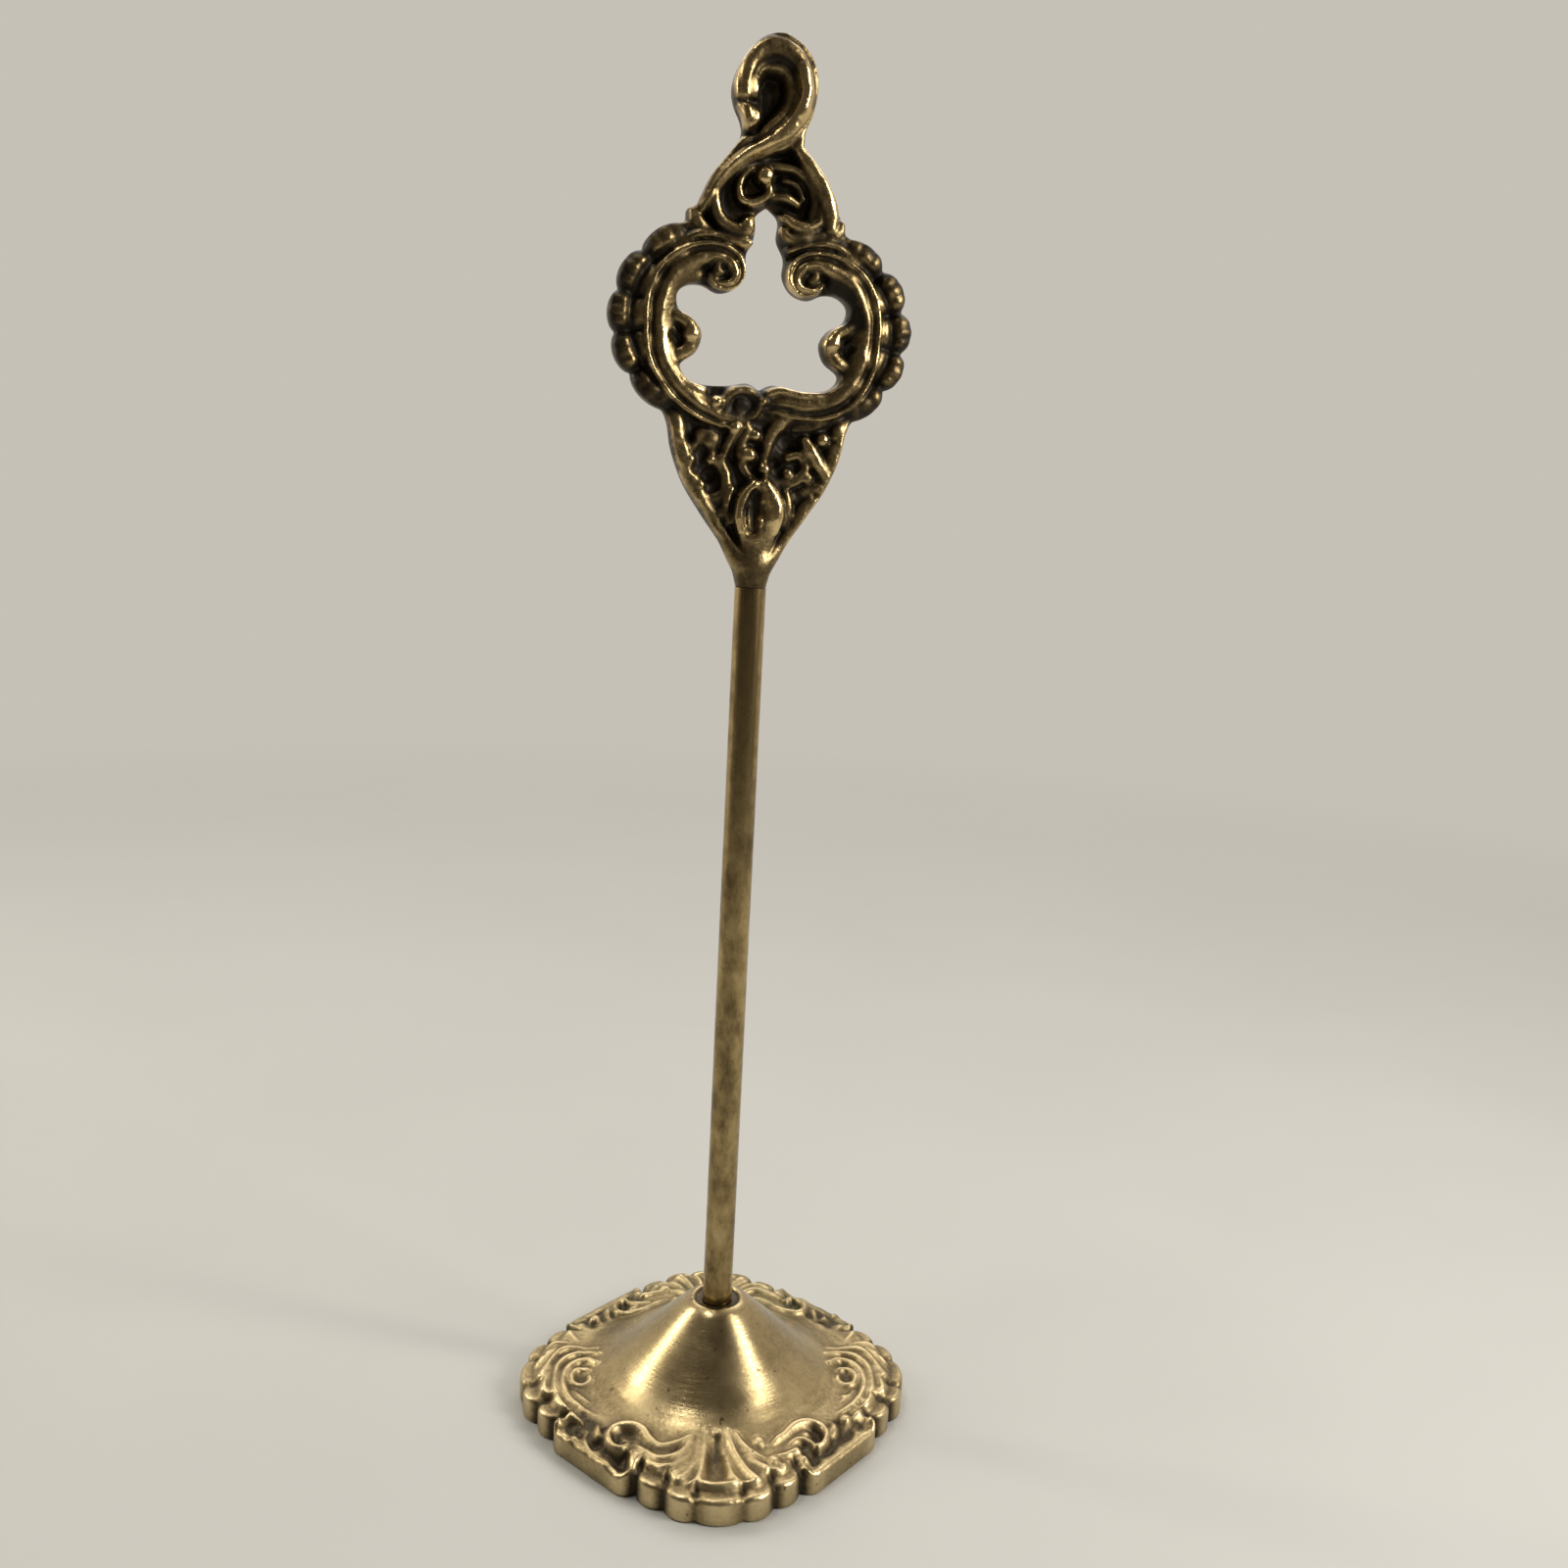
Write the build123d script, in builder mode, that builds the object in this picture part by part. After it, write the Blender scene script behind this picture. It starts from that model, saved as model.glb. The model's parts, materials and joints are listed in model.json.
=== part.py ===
"""Table number holder: a cast foot, a rod and a pierced cast head with a sprung card clip behind it.

Frame: millimetres, +Z up, origin at the middle of the foot where it stands on the table.
The front is -Y. The foot stands with one corner to the front. The head is turned a little
about the rod, so its parts are drawn on planes of their own: "across" runs along the head's
width, "back" out of its reverse.
"""
from build123d import *
import os
from math import cos, radians, sin

# --- Driving dimensions ---------------------------------------------------------------
rod_diameter = 6.35            # quarter inch brass rod
spigot_radius = 2.4            # threaded ends of the rod, about M5
thread_hole_radius = 2.45      # tapped holes on the spigots
clearance_hole_radius = 2.6    # plain holes round the spigots

foot_corner = 42.8             # centre to the tip of a corner lobe
rim_height = 6.2               # upright scalloped edge of the foot
shoulder = 0.7                 # step at the top of that edge
wall = 2.2                     # casting wall
flare_radius = 29.0            # where the cone leaves the plate
cone_top_radius = 6.0
cone_top = 24.0
seat_depth = 0.8               # shallow dish in the cone's top that the rod stands in
seat_radius = 4.9
boss_radius = 6.0
boss_bottom = 11.0             # face that the washers pull against

washer_radius = 5.0
washer_thickness = 1.0
spring_washer_radius = 4.4
spring_washer_thickness = 1.3
spring_washer_slit = 0.8
nut_flats = 8.0
nut_height = 4.0
thread_tail = 0.8              # thread showing past the nut

rod_top = 180.0                # where the head's neck starts
head_socket_depth = 10.5
upper_spigot_length = 9.5

head_turn = 9.0                # degrees about the rod
head_half_thickness = 2.8
head_top = 282.0
scroll_x = 11.0                # centres of the two big C-scrolls
scroll_z = 230.0
scroll_radius = 17.4
lobe_radius = 4.3              # frill lobes outside each C-scroll
lobe_ring = 14.6
lobe_count = 5
lobe_span = 140.0              # degrees that the frill covers
lobe_middle = 5.0              # degrees above the horizontal, middle of the frill
ridge_width = 2.2              # raised ridge round each C-scroll
ridge_ring = 14.2
relief = 0.8

strip = 0.6                    # spring strip thickness
clip_width = 11.0
foot_low = 195.6               # lower end of the riveted foot
rivet_height = 199.6
rivet_spread = 3.0             # each rivet's distance from the middle
rivet_radius = 1.15
rivet_hole_radius = 1.2
rivet_depth = 2.3
rivet_head_radius = 1.9
rivet_head_height = 0.9
hinge_height = 204.2           # root bend, where the leaf turns
root_gap = 0.1                 # between the foot's end and the leaf's rounded root
grip_gap = 0.3                 # leaf to the head's back when nothing is clipped

# --- Values worked out from them --------------------------------------------------------
rod_radius = rod_diameter / 2
seat = cone_top - seat_depth
washer_bottom = boss_bottom - washer_thickness
spring_washer_bottom = washer_bottom - spring_washer_thickness
nut_bottom = spring_washer_bottom - nut_height
spigot_bottom = nut_bottom - thread_tail

turn_cos = cos(radians(head_turn))
turn_sin = sin(radians(head_turn))
across = Vector(turn_cos, turn_sin, 0)
back = Vector(-turn_sin, turn_cos, 0)
# Front view of the head: local x across, local y up, normal out of the front.
head_plane = Plane(origin=(0, 0, 0), x_dir=across, z_dir=-back)
# Side view of the head: local x to the back, local y up.
side_plane = Plane(origin=(0, 0, 0), x_dir=back, z_dir=across)
# Back face of the head, normal out of the back, at the rivets' height.
rivet_plane = Plane(
    origin=back * head_half_thickness + Vector(0, 0, rivet_height), x_dir=across, z_dir=back
)

os.makedirs("parts", exist_ok=True)

# --- Foot casting -----------------------------------------------------------------------
# One half of a corner of the foot's outline, for the corner on +Y: the middle lobe's end,
# then two lobes (their high points and the notches after them) and the straight side's end.
lobe_tip = (0, foot_corner)
notches = [(4.9, 41.4), (11.0, 37.9), (16.6, 33.5), (21.2, 32.8)]
lobe_crests = [(8.7, 40.9), (14.7, 36.9), (18.9, 34.0)]


def at_corner(point, corner, side=1):
    """A point of the +Y corner's right half, mirrored by side and turned to another corner."""
    return Vector(side * point[0], point[1]).rotate(Axis.Z, 90 * corner)


with BuildSketch(mode=Mode.PRIVATE) as foot_outline:
    with BuildLine():
        for corner in range(4):
            ThreePointArc(
                at_corner(notches[0], corner, -1),
                at_corner(lobe_tip, corner),
                at_corner(notches[0], corner),
            )
            for side in (-1, 1):
                for start, crest, end in zip(notches, lobe_crests, notches[1:]):
                    ThreePointArc(
                        at_corner(start, corner, side),
                        at_corner(crest, corner, side),
                        at_corner(end, corner, side),
                    )
            Line(at_corner(notches[-1], corner, -1), at_corner(notches[-1], corner + 1))
    make_face()

with BuildPart() as base_casting:
    # Upright edge, and the slightly smaller plate on top of it.
    with BuildSketch():
        add(foot_outline.sketch)
    extrude(amount=rim_height - shoulder)
    with BuildSketch(Plane.XY.offset(rim_height - shoulder)):
        offset(foot_outline.sketch, amount=-shoulder)
    extrude(amount=shoulder)
    # The cone, with its flare, and the seat for the rod in its top.
    with BuildSketch(Plane.XZ):
        with BuildLine():
            Line((0, 0), (flare_radius, 0))
            Line((flare_radius, 0), (flare_radius, rim_height - 0.1))
            Spline(
                (flare_radius, rim_height - 0.1), (19.6, 11.3), (12.4, 18.0),
                (cone_top_radius, cone_top), tangents=((-1, 0.08), (-0.7, 0.7)),
            )
            Line((cone_top_radius, cone_top), (0, cone_top))
            Line((0, cone_top), (0, 0))
        make_face()
    revolve(axis=Axis.Z)
    # Hollow underside: inside the rim, then up under the cone round the boss.
    with BuildSketch():
        offset(foot_outline.sketch, amount=-wall)
    extrude(amount=rim_height - wall, mode=Mode.SUBTRACT)
    with BuildSketch(Plane.XZ):
        with BuildLine():
            Line((0, 0), (26.5, 0))
            Line((26.5, 0), (26.5, rim_height - wall))
            Spline(
                (26.5, rim_height - wall), (18.0, 8.8), (boss_radius + 2.0, 18.4),
                tangents=((-1, 0.08), (-0.7, 0.7)),
            )
            Line((boss_radius + 2.0, 18.4), (boss_radius, 18.4))
            Line((boss_radius, 18.4), (boss_radius, boss_bottom))
            Line((boss_radius, boss_bottom), (0, boss_bottom))
            Line((0, boss_bottom), (0, 0))
        make_face()
    revolve(axis=Axis.Z, mode=Mode.SUBTRACT)
    # Hole for the spigot, and the seat.
    with BuildSketch(Plane.XY.offset(boss_bottom)):
        Circle(clearance_hole_radius)
    extrude(amount=cone_top - boss_bottom, mode=Mode.SUBTRACT)
    with BuildSketch(Plane.XY.offset(seat)):
        Circle(seat_radius)
    extrude(amount=seat_depth, mode=Mode.SUBTRACT)
base_casting.part.label = "base_casting"

# --- Rod, threaded at both ends (threads as plain spigots) --------------------------------
with BuildPart() as stem_rod:
    with BuildSketch(Plane.XY.offset(seat)):
        Circle(rod_radius)
    extrude(amount=rod_top - seat)
    with BuildSketch(Plane.XY.offset(spigot_bottom)):
        Circle(spigot_radius)
    extrude(amount=seat - spigot_bottom)
    with BuildSketch(Plane.XY.offset(rod_top)):
        Circle(spigot_radius)
    extrude(amount=upper_spigot_length)
    chamfer(stem_rod.faces().sort_by(Axis.Z)[0].edges(), 0.4)
    chamfer(stem_rod.faces().sort_by(Axis.Z)[-1].edges(), 0.4)
stem_rod.part.label = "stem_rod"

# --- Fasteners under the foot -------------------------------------------------------------
with BuildPart() as base_washer:
    with BuildSketch(Plane.XY.offset(washer_bottom)):
        Circle(washer_radius)
        Circle(clearance_hole_radius, mode=Mode.SUBTRACT)
    extrude(amount=washer_thickness)
base_washer.part.label = "base_washer"

with BuildPart() as spring_washer:
    with BuildSketch(Plane.XY.offset(spring_washer_bottom)):
        Circle(spring_washer_radius)
        Circle(clearance_hole_radius, mode=Mode.SUBTRACT)
        with Locations((spring_washer_radius, 0)):
            Rectangle(2 * spring_washer_radius, spring_washer_slit, mode=Mode.SUBTRACT)
    extrude(amount=spring_washer_thickness)
spring_washer.part.label = "spring_washer"

with BuildPart() as base_nut:
    with BuildSketch(Plane.XY.offset(nut_bottom)):
        RegularPolygon(radius=nut_flats / 2, side_count=6, major_radius=False)
        Circle(thread_hole_radius, mode=Mode.SUBTRACT)
    extrude(amount=nut_height)
    # Chamfered corners on the lower side, as turned nuts have.
    with BuildSketch(Plane.XZ):
        with BuildLine():
            Polyline(
                (0, nut_bottom), (nut_flats / 2 - 0.1, nut_bottom),
                (nut_flats / 2 + 0.8, nut_bottom + 0.5),
                (nut_flats / 2 + 0.8, nut_bottom + nut_height),
                (0, nut_bottom + nut_height), close=True,
            )
        make_face()
    revolve(axis=Axis.Z, mode=Mode.INTERSECT)
base_nut.part.label = "base_nut"

# --- Head casting ---------------------------------------------------------------------------
with BuildSketch(mode=Mode.PRIVATE) as head_outline:
    # Body below the opening, drawn in to the neck.
    with BuildLine():
        body_side = Spline((5.6, 186.0), (9.6, 192.6), (14.8, 199.0), (17.6, 207.0), (18.6, 216.0))
        mirror(body_side, about=Plane.YZ)
        Line((-5.6, 186.0), (5.6, 186.0))
        Line((-18.6, 216.0), (18.6, 216.0))
    make_face()
    # The two C-scrolls with their frills.
    for side in (-1, 1):
        with Locations((side * scroll_x, scroll_z)):
            Circle(scroll_radius)
        for lobe in range(lobe_count):
            angle = radians(lobe_middle + (lobe - (lobe_count - 1) / 2) * lobe_span / lobe_count)
            lobe_x = side * (scroll_x + lobe_ring * cos(angle))
            with Locations((lobe_x, scroll_z + lobe_ring * sin(angle))):
                Circle(lobe_radius)
    # Arch and finial, drawn as one closed curve.
    with BuildLine():
        Spline(
            (15.6, 246.0), (13.4, 253.6), (9.2, 259.2), (6.5, 264.6), (8.1, 270.6), (8.2, 275.8),
            (5.6, 279.8), (1.0, head_top), (-4.4, 279.2), (-7.5, 273.2), (-6.3, 265.8),
            (-9.4, 259.0), (-13.4, 252.6), (-15.6, 246.0),
        )
        Line((-15.6, 246.0), (15.6, 246.0))
    make_face()
    # The opening: apex, upper volutes, side buds, and the notched lower edge.
    with BuildLine():
        apex_edge = Polyline(
            (0, 252.3), (2.5, 250.2), (2.2, 246.7), (4.2, 242.6), (3.7, 240.0), (4.8, 237.0),
        )
        volute_edge = Spline((4.8, 237.0), (8.4, 235.0), (12.4, 236.5), (15.5, 236.9), (17.9, 234.2))
        bud_edge = Spline((17.9, 234.2), (15.0, 231.4), (12.4, 228.2), (13.6, 224.8), (16.3, 221.2))
        sill_edge = Spline((16.3, 221.2), (12.6, 218.7), (8.0, 218.6), (3.3, 219.6), (0, 218.2))
        mirror(apex_edge, about=Plane.YZ)
        mirror(volute_edge, about=Plane.YZ)
        mirror(bud_edge, about=Plane.YZ)
        mirror(sill_edge, about=Plane.YZ)
    make_face(mode=Mode.SUBTRACT)

with BuildPart() as head_casting:
    with BuildSketch(head_plane):
        add(head_outline.sketch)
    extrude(amount=head_half_thickness, both=True)
    # Raised ridge of each C-scroll, on the front only.
    with BuildSketch(head_plane.offset(head_half_thickness)):
        with Locations((-scroll_x, scroll_z), (scroll_x, scroll_z)):
            Circle(ridge_ring + ridge_width / 2)
        with Locations((-scroll_x, scroll_z), (scroll_x, scroll_z)):
            Circle(ridge_ring - ridge_width / 2, mode=Mode.SUBTRACT)
        add(head_outline.sketch, mode=Mode.INTERSECT)
    extrude(amount=relief)
    # Neck, round at the rod and flattening into the body.
    for height, half_width, half_depth in [
        (rod_top, 3.6, 3.6), (186.0, 5.8, 4.3), (191.0, 8.6, 4.1), (195.2, 11.2, head_half_thickness - 0.2),
    ]:
        with BuildSketch(Plane(origin=(0, 0, height), x_dir=across, z_dir=(0, 0, 1))):
            Ellipse(half_width, half_depth)
    loft()
    # Tapped socket for the rod, and the rivet holes in the back.
    with BuildSketch(Plane.XY.offset(rod_top)):
        Circle(thread_hole_radius)
    extrude(amount=head_socket_depth, mode=Mode.SUBTRACT)
    with BuildSketch(rivet_plane):
        with Locations((-rivet_spread, 0), (rivet_spread, 0)):
            Circle(rivet_hole_radius)
    extrude(amount=-rivet_depth, mode=Mode.SUBTRACT)
head_casting.part.label = "head_casting"

# --- Sprung card clip: a riveted foot and the leaf that turns about the root bend -------------
strip_middle = head_half_thickness + strip / 2
with BuildPart() as clip_foot:
    with BuildSketch(rivet_plane):
        foot_high = hinge_height - strip / 2 - root_gap
        with Locations((0, (foot_low + foot_high) / 2 - rivet_height)):
            Rectangle(clip_width, foot_high - foot_low)
        with Locations((-rivet_spread, 0), (rivet_spread, 0)):
            Circle(rivet_hole_radius, mode=Mode.SUBTRACT)
    extrude(amount=strip)
clip_foot.part.label = "clip_foot"

with BuildPart() as clip_leaf:
    # Side view: out from the root, back in to the grip line, then flared at the tip.
    with BuildSketch(side_plane):
        with BuildLine():
            Spline(
                (strip_middle, hinge_height),
                (strip_middle + 1.7, 208.4),
                (strip_middle + grip_gap, 213.6),
                (strip_middle + 2.0, 217.0),
            )
        trace(line_width=strip)
        with Locations((strip_middle, hinge_height)):
            Circle(strip / 2)
    extrude(amount=clip_width / 2, both=True)
    # Front view: rounded corners at the tip.
    with BuildSketch(head_plane.offset(-2 * clip_width)):
        with Locations((0, hinge_height + 1.2)):
            RectangleRounded(clip_width, 2 * (217.6 - hinge_height - 1.2), 3.0)
    extrude(amount=3 * clip_width, mode=Mode.INTERSECT)
clip_leaf.part.label = "clip_leaf"

with BuildPart() as clip_rivets:
    with BuildSketch(rivet_plane):
        with Locations((-rivet_spread, 0), (rivet_spread, 0)):
            Circle(rivet_radius)
    extrude(amount=-rivet_depth + 0.1)
    with BuildSketch(rivet_plane):
        with Locations((-rivet_spread, 0), (rivet_spread, 0)):
            Circle(rivet_radius)
    extrude(amount=strip)
    with BuildSketch(rivet_plane.offset(strip)):
        with Locations((-rivet_spread, 0), (rivet_spread, 0)):
            Circle(rivet_head_radius)
    extrude(amount=rivet_head_height)
    fillet(clip_rivets.faces().sort_by(Axis(origin=(0, 0, 0), direction=back))[-2:].edges(), 0.6)
clip_rivets.part.label = "clip_rivets"

# --- One file for each piece ------------------------------------------------------------------
for piece in (
    base_casting, stem_rod, base_washer, spring_washer, base_nut,
    head_casting, clip_foot, clip_leaf, clip_rivets,
):
    export_step(piece.part, f"parts/{piece.part.label}.step")
    print(f"{piece.part.label}: {piece.part.volume:.1f} mm3, {len(piece.part.solids())} solid(s)")
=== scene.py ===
"""Looks of the brass table number holder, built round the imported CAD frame.

The head and the foot are castings, so each is drawn as a relief: strokes and knobs raise a
height map, hollows sink it, and the map is then turned into a closed mesh. Everything else is
built from turned or swept profiles. Lengths are in millimetres until a mesh is made.
"""
import json
from math import atan2, cos, pi, radians, sin

import bpy
import numpy as np
from mathutils import Matrix, Vector


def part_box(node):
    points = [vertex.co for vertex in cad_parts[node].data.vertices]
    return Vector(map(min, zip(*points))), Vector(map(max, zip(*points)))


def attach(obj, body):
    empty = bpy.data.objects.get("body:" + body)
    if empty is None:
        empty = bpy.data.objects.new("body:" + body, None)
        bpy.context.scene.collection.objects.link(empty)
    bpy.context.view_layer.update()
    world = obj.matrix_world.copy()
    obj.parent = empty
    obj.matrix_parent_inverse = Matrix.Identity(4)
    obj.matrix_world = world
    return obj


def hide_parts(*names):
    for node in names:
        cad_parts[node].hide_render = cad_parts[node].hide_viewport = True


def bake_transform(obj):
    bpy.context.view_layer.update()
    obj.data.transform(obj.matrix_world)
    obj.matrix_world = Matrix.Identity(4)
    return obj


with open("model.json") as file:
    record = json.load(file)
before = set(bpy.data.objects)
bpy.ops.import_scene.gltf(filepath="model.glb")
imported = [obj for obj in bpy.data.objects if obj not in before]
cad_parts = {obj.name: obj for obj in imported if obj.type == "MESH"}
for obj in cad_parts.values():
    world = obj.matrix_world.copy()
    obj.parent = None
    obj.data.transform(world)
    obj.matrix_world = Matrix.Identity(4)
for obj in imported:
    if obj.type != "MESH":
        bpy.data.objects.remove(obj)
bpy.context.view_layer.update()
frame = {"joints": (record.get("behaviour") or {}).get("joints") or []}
MM = 0.001

# ---------------------------------------------------------------- directions and shared sizes
across = -Vector(frame["joints"][0]["axis"])           # along the head's width; the hinge's axis reversed
ACROSS = np.array(across)
BACK = np.array(Vector((0, 0, 1)).cross(across))       # out of the head's reverse
UP = np.array((0, 0, 1))
ROD_BOTTOM, ROD_TOP = (corner.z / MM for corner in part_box("stem_rod"))
HEAD_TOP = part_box("head_casting")[1].z / MM

# Radii and heights where pieces meet, in millimetres.
ROD_RADIUS = 3.175
SPIGOT_RADIUS = 2.4                       # threaded ends of the rod
NECK_LENGTH = 9.5                         # of the upper spigot, inside the head
NECK_BOTTOM = ROD_TOP - NECK_LENGTH       # where the casting meets the rod
SEAT = 23.2                               # floor of the dish that the rod stands in
BACK_HEIGHT = 2.8                         # plane that the clip is riveted to
RIVET_HEIGHT, RIVET_SPREAD = 199.6, 3.0
WASHER_TOP, WASHER_BOTTOM = 11.0, 10.0
NUT_TOP, NUT_BOTTOM = 8.7, 4.7

BOTH_SIDES, LEFT_SIDE, RIGHT_SIDE = (1, -1), (-1,), (1,)


# ---------------------------------------------------------------- curves and profiles
def curve_through(points, per_span=10):
    """A smooth line (Catmull-Rom) through rows of numbers, with per_span steps between two rows."""
    rows = np.array(points, float)
    rows = np.vstack([2 * rows[0] - rows[1], rows, 2 * rows[-1] - rows[-2]])
    out = []
    for p0, p1, p2, p3 in zip(rows, rows[1:], rows[2:], rows[3:]):
        for t in np.arange(per_span) / per_span:
            bend = (2 * p0 - 5 * p1 + 4 * p2 - p3) * t**2
            out.append(0.5 * (2 * p1 + (p2 - p0) * t + bend + (3 * p1 - p0 - 3 * p2 + p3) * t**3))
    out.append(rows[-2])
    return np.array(out)


def dome(s):
    """Half-round cross-section, for offsets s from -1 to 1."""
    return np.sqrt(np.clip(1 - s * s, 0, 1))


def shaped(*pairs):
    """A cross-section from (offset, height) pairs, offset from -1 on the line's right to 1 on its left."""
    offsets, heights = np.array(pairs, float).T
    return lambda s: np.interp(s, offsets, heights)


scroll_band = shaped(
    (-1, 0.15), (-0.88, 0.8), (-0.68, 1.0), (-0.5, 0.5), (-0.36, 0.5), (-0.1, 0.9),
    (0.2, 0.95), (0.55, 0.7), (0.85, 0.4), (1, 0.1),
)
finial_band = shaped(
    (-1, 0.2), (-0.88, 0.7), (-0.74, 0.5), (-0.5, 0.88), (-0.2, 1.0), (0.1, 0.88), (0.32, 0.52),
    (0.42, 0.5), (0.58, 0.62), (0.75, 0.45), (1, 0.0),
)


def smooth_max(a, b, soft):
    """The larger of a and b, rounded over where they differ by less than soft."""
    gap = np.clip(0.5 + 0.5 * (a - b) / soft, 0, 1)
    return b + (a - b) * gap + soft * gap * (1 - gap)


def smooth_min(a, b, soft):
    return -smooth_max(-a, -b, soft)


def smooth_step(low, high, x):
    """0 at low, 1 at high, with a soft start and end; low may be the larger."""
    t = np.clip((x - low) / (high - low), 0, 1)
    return t * t * (3 - 2 * t)


def blurred(values, sigma):
    """Gaussian blur of a 2-D array, sigma in grid steps."""
    reach = int(3 * sigma) + 1
    kernel = np.exp(-0.5 * (np.arange(-reach, reach + 1) / sigma) ** 2)
    kernel /= kernel.sum()
    for axis in (0, 1):
        padded = np.pad(values, [(reach, reach) if a == axis else (0, 0) for a in (0, 1)], mode="edge")
        count = values.shape[axis]
        values = sum(
            w * (padded[i:i + count] if axis == 0 else padded[:, i:i + count])
            for i, w in enumerate(kernel)
        )
    return values


class Relief:
    """A height map on a grid of u and v, in millimetres, drawn with strokes, knobs and hollows."""

    MARGIN = 4.0                          # beyond a stroke's widest half width
    DOT = 0.01                            # length of the stroke that makes a round knob

    def __init__(self, low, high, step, ground):
        self.low, self.step = np.array(low, float), step
        counts = [int(round((b - a) / step)) + 1 for a, b in zip(low, high)]
        self.u, self.v = [a + step * np.arange(n) for a, n in zip(low, counts)]
        self.U, self.V = np.meshgrid(self.u, self.v, indexing="ij")
        self.height = np.full(self.U.shape, float(ground))    # how far the surface stands out

    def stroke(self, points, foot=0.0, profile=dome, soft=0.25, sides=RIGHT_SIDE, add=False):
        """Draws along points, each (u, v, half width, height), as given and mirrored for sides 1 and -1.
        The stroke stands on foot, or is added to what is there."""
        line = curve_through(points)
        for side in sides:
            self._draw(line, side, foot, profile, soft, add)

    def _draw(self, line, side, foot, profile, soft, add):
        reach = line[:, 2].max() + self.MARGIN
        u_low, u_high = sorted((side * line[:, 0].min(), side * line[:, 0].max()))
        i0, i1 = np.searchsorted(self.u, (u_low - reach, u_high + reach))
        j0, j1 = np.searchsorted(self.v, (line[:, 1].min() - reach, line[:, 1].max() + reach))
        window = (slice(i0, i1), slice(j0, j1))
        pu, pv = side * self.U[window], self.V[window]
        start, run = line[:-1], np.diff(line, axis=0)
        length2 = (run[:, :2] ** 2).sum(1) + 1e-12
        best = np.full(pu.shape, 1e9)
        offset, width, rise = np.zeros_like(best), np.ones_like(best), np.zeros_like(best)
        for (u0, v0, w0, h0), (du, dv, dw, dh), l2 in zip(start, run, length2):
            from_u, from_v = pu - u0, pv - v0
            t = np.clip((from_u * du + from_v * dv) / l2, 0, 1)
            d2 = (from_u - t * du) ** 2 + (from_v - t * dv) ** 2
            near = d2 < best
            best = np.where(near, d2, best)
            offset = np.where(near, np.sign(du * from_v - dv * from_u + 1e-12), offset)
            width = np.where(near, w0 + t * dw, width)
            rise = np.where(near, h0 + t * dh, rise)
        away = np.sqrt(best)
        s = offset * away / width
        bulge = profile(np.clip(s, -1, 1)) * rise
        here = self.height[window]
        if add:
            self.height[window] = here + bulge * (np.abs(s) < 1)
        else:
            raised = smooth_max(here, foot + bulge, soft)
            self.height[window] = here + (raised - here) * smooth_step(0, 0.35, width - away + 0.35)

    def knob(self, u, v, radius, rise, foot=0.0, **how):
        self.stroke([(u, v, radius, rise), (u + self.DOT, v, radius, rise)], foot=foot, **how)

    def hollow(self, u, v, radius, depth, **how):
        self.stroke([(u, v, radius, -depth), (u + self.DOT, v, radius, -depth)], add=True, **how)

    def at(self, values, u, v):
        """values, a map on this grid, read at any points."""
        fu = np.clip((u - self.low[0]) / self.step, 0, len(self.u) - 1.001)
        fv = np.clip((v - self.low[1]) / self.step, 0, len(self.v) - 1.001)
        i, j = fu.astype(int), fv.astype(int)
        a, b = fu - i, fv - j
        return (
            values[i, j] * (1 - a) * (1 - b) + values[i + 1, j] * a * (1 - b)
            + values[i, j + 1] * (1 - a) * b + values[i + 1, j + 1] * a * b
        )


# ---------------------------------------------------------------- meshes
def new_piece(name, verts_mm, faces, material):
    """A smooth-shaded mesh object in metres, from vertices in millimetres."""
    mesh = bpy.data.meshes.new(name)
    mesh.from_pydata((np.asarray(verts_mm) * MM).tolist(), [], [tuple(f) for f in faces])
    mesh.validate()
    mesh.update()
    mesh.polygons.foreach_set("use_smooth", [True] * len(mesh.polygons))
    obj = bpy.data.objects.new(name, mesh)
    bpy.context.scene.collection.objects.link(obj)
    mesh.materials.append(material)
    return obj


def write_attribute(obj, name, values):
    attribute = obj.data.attributes.new(name, "FLOAT", "POINT")
    attribute.data.foreach_set("value", np.asarray(values, np.float32))


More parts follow.
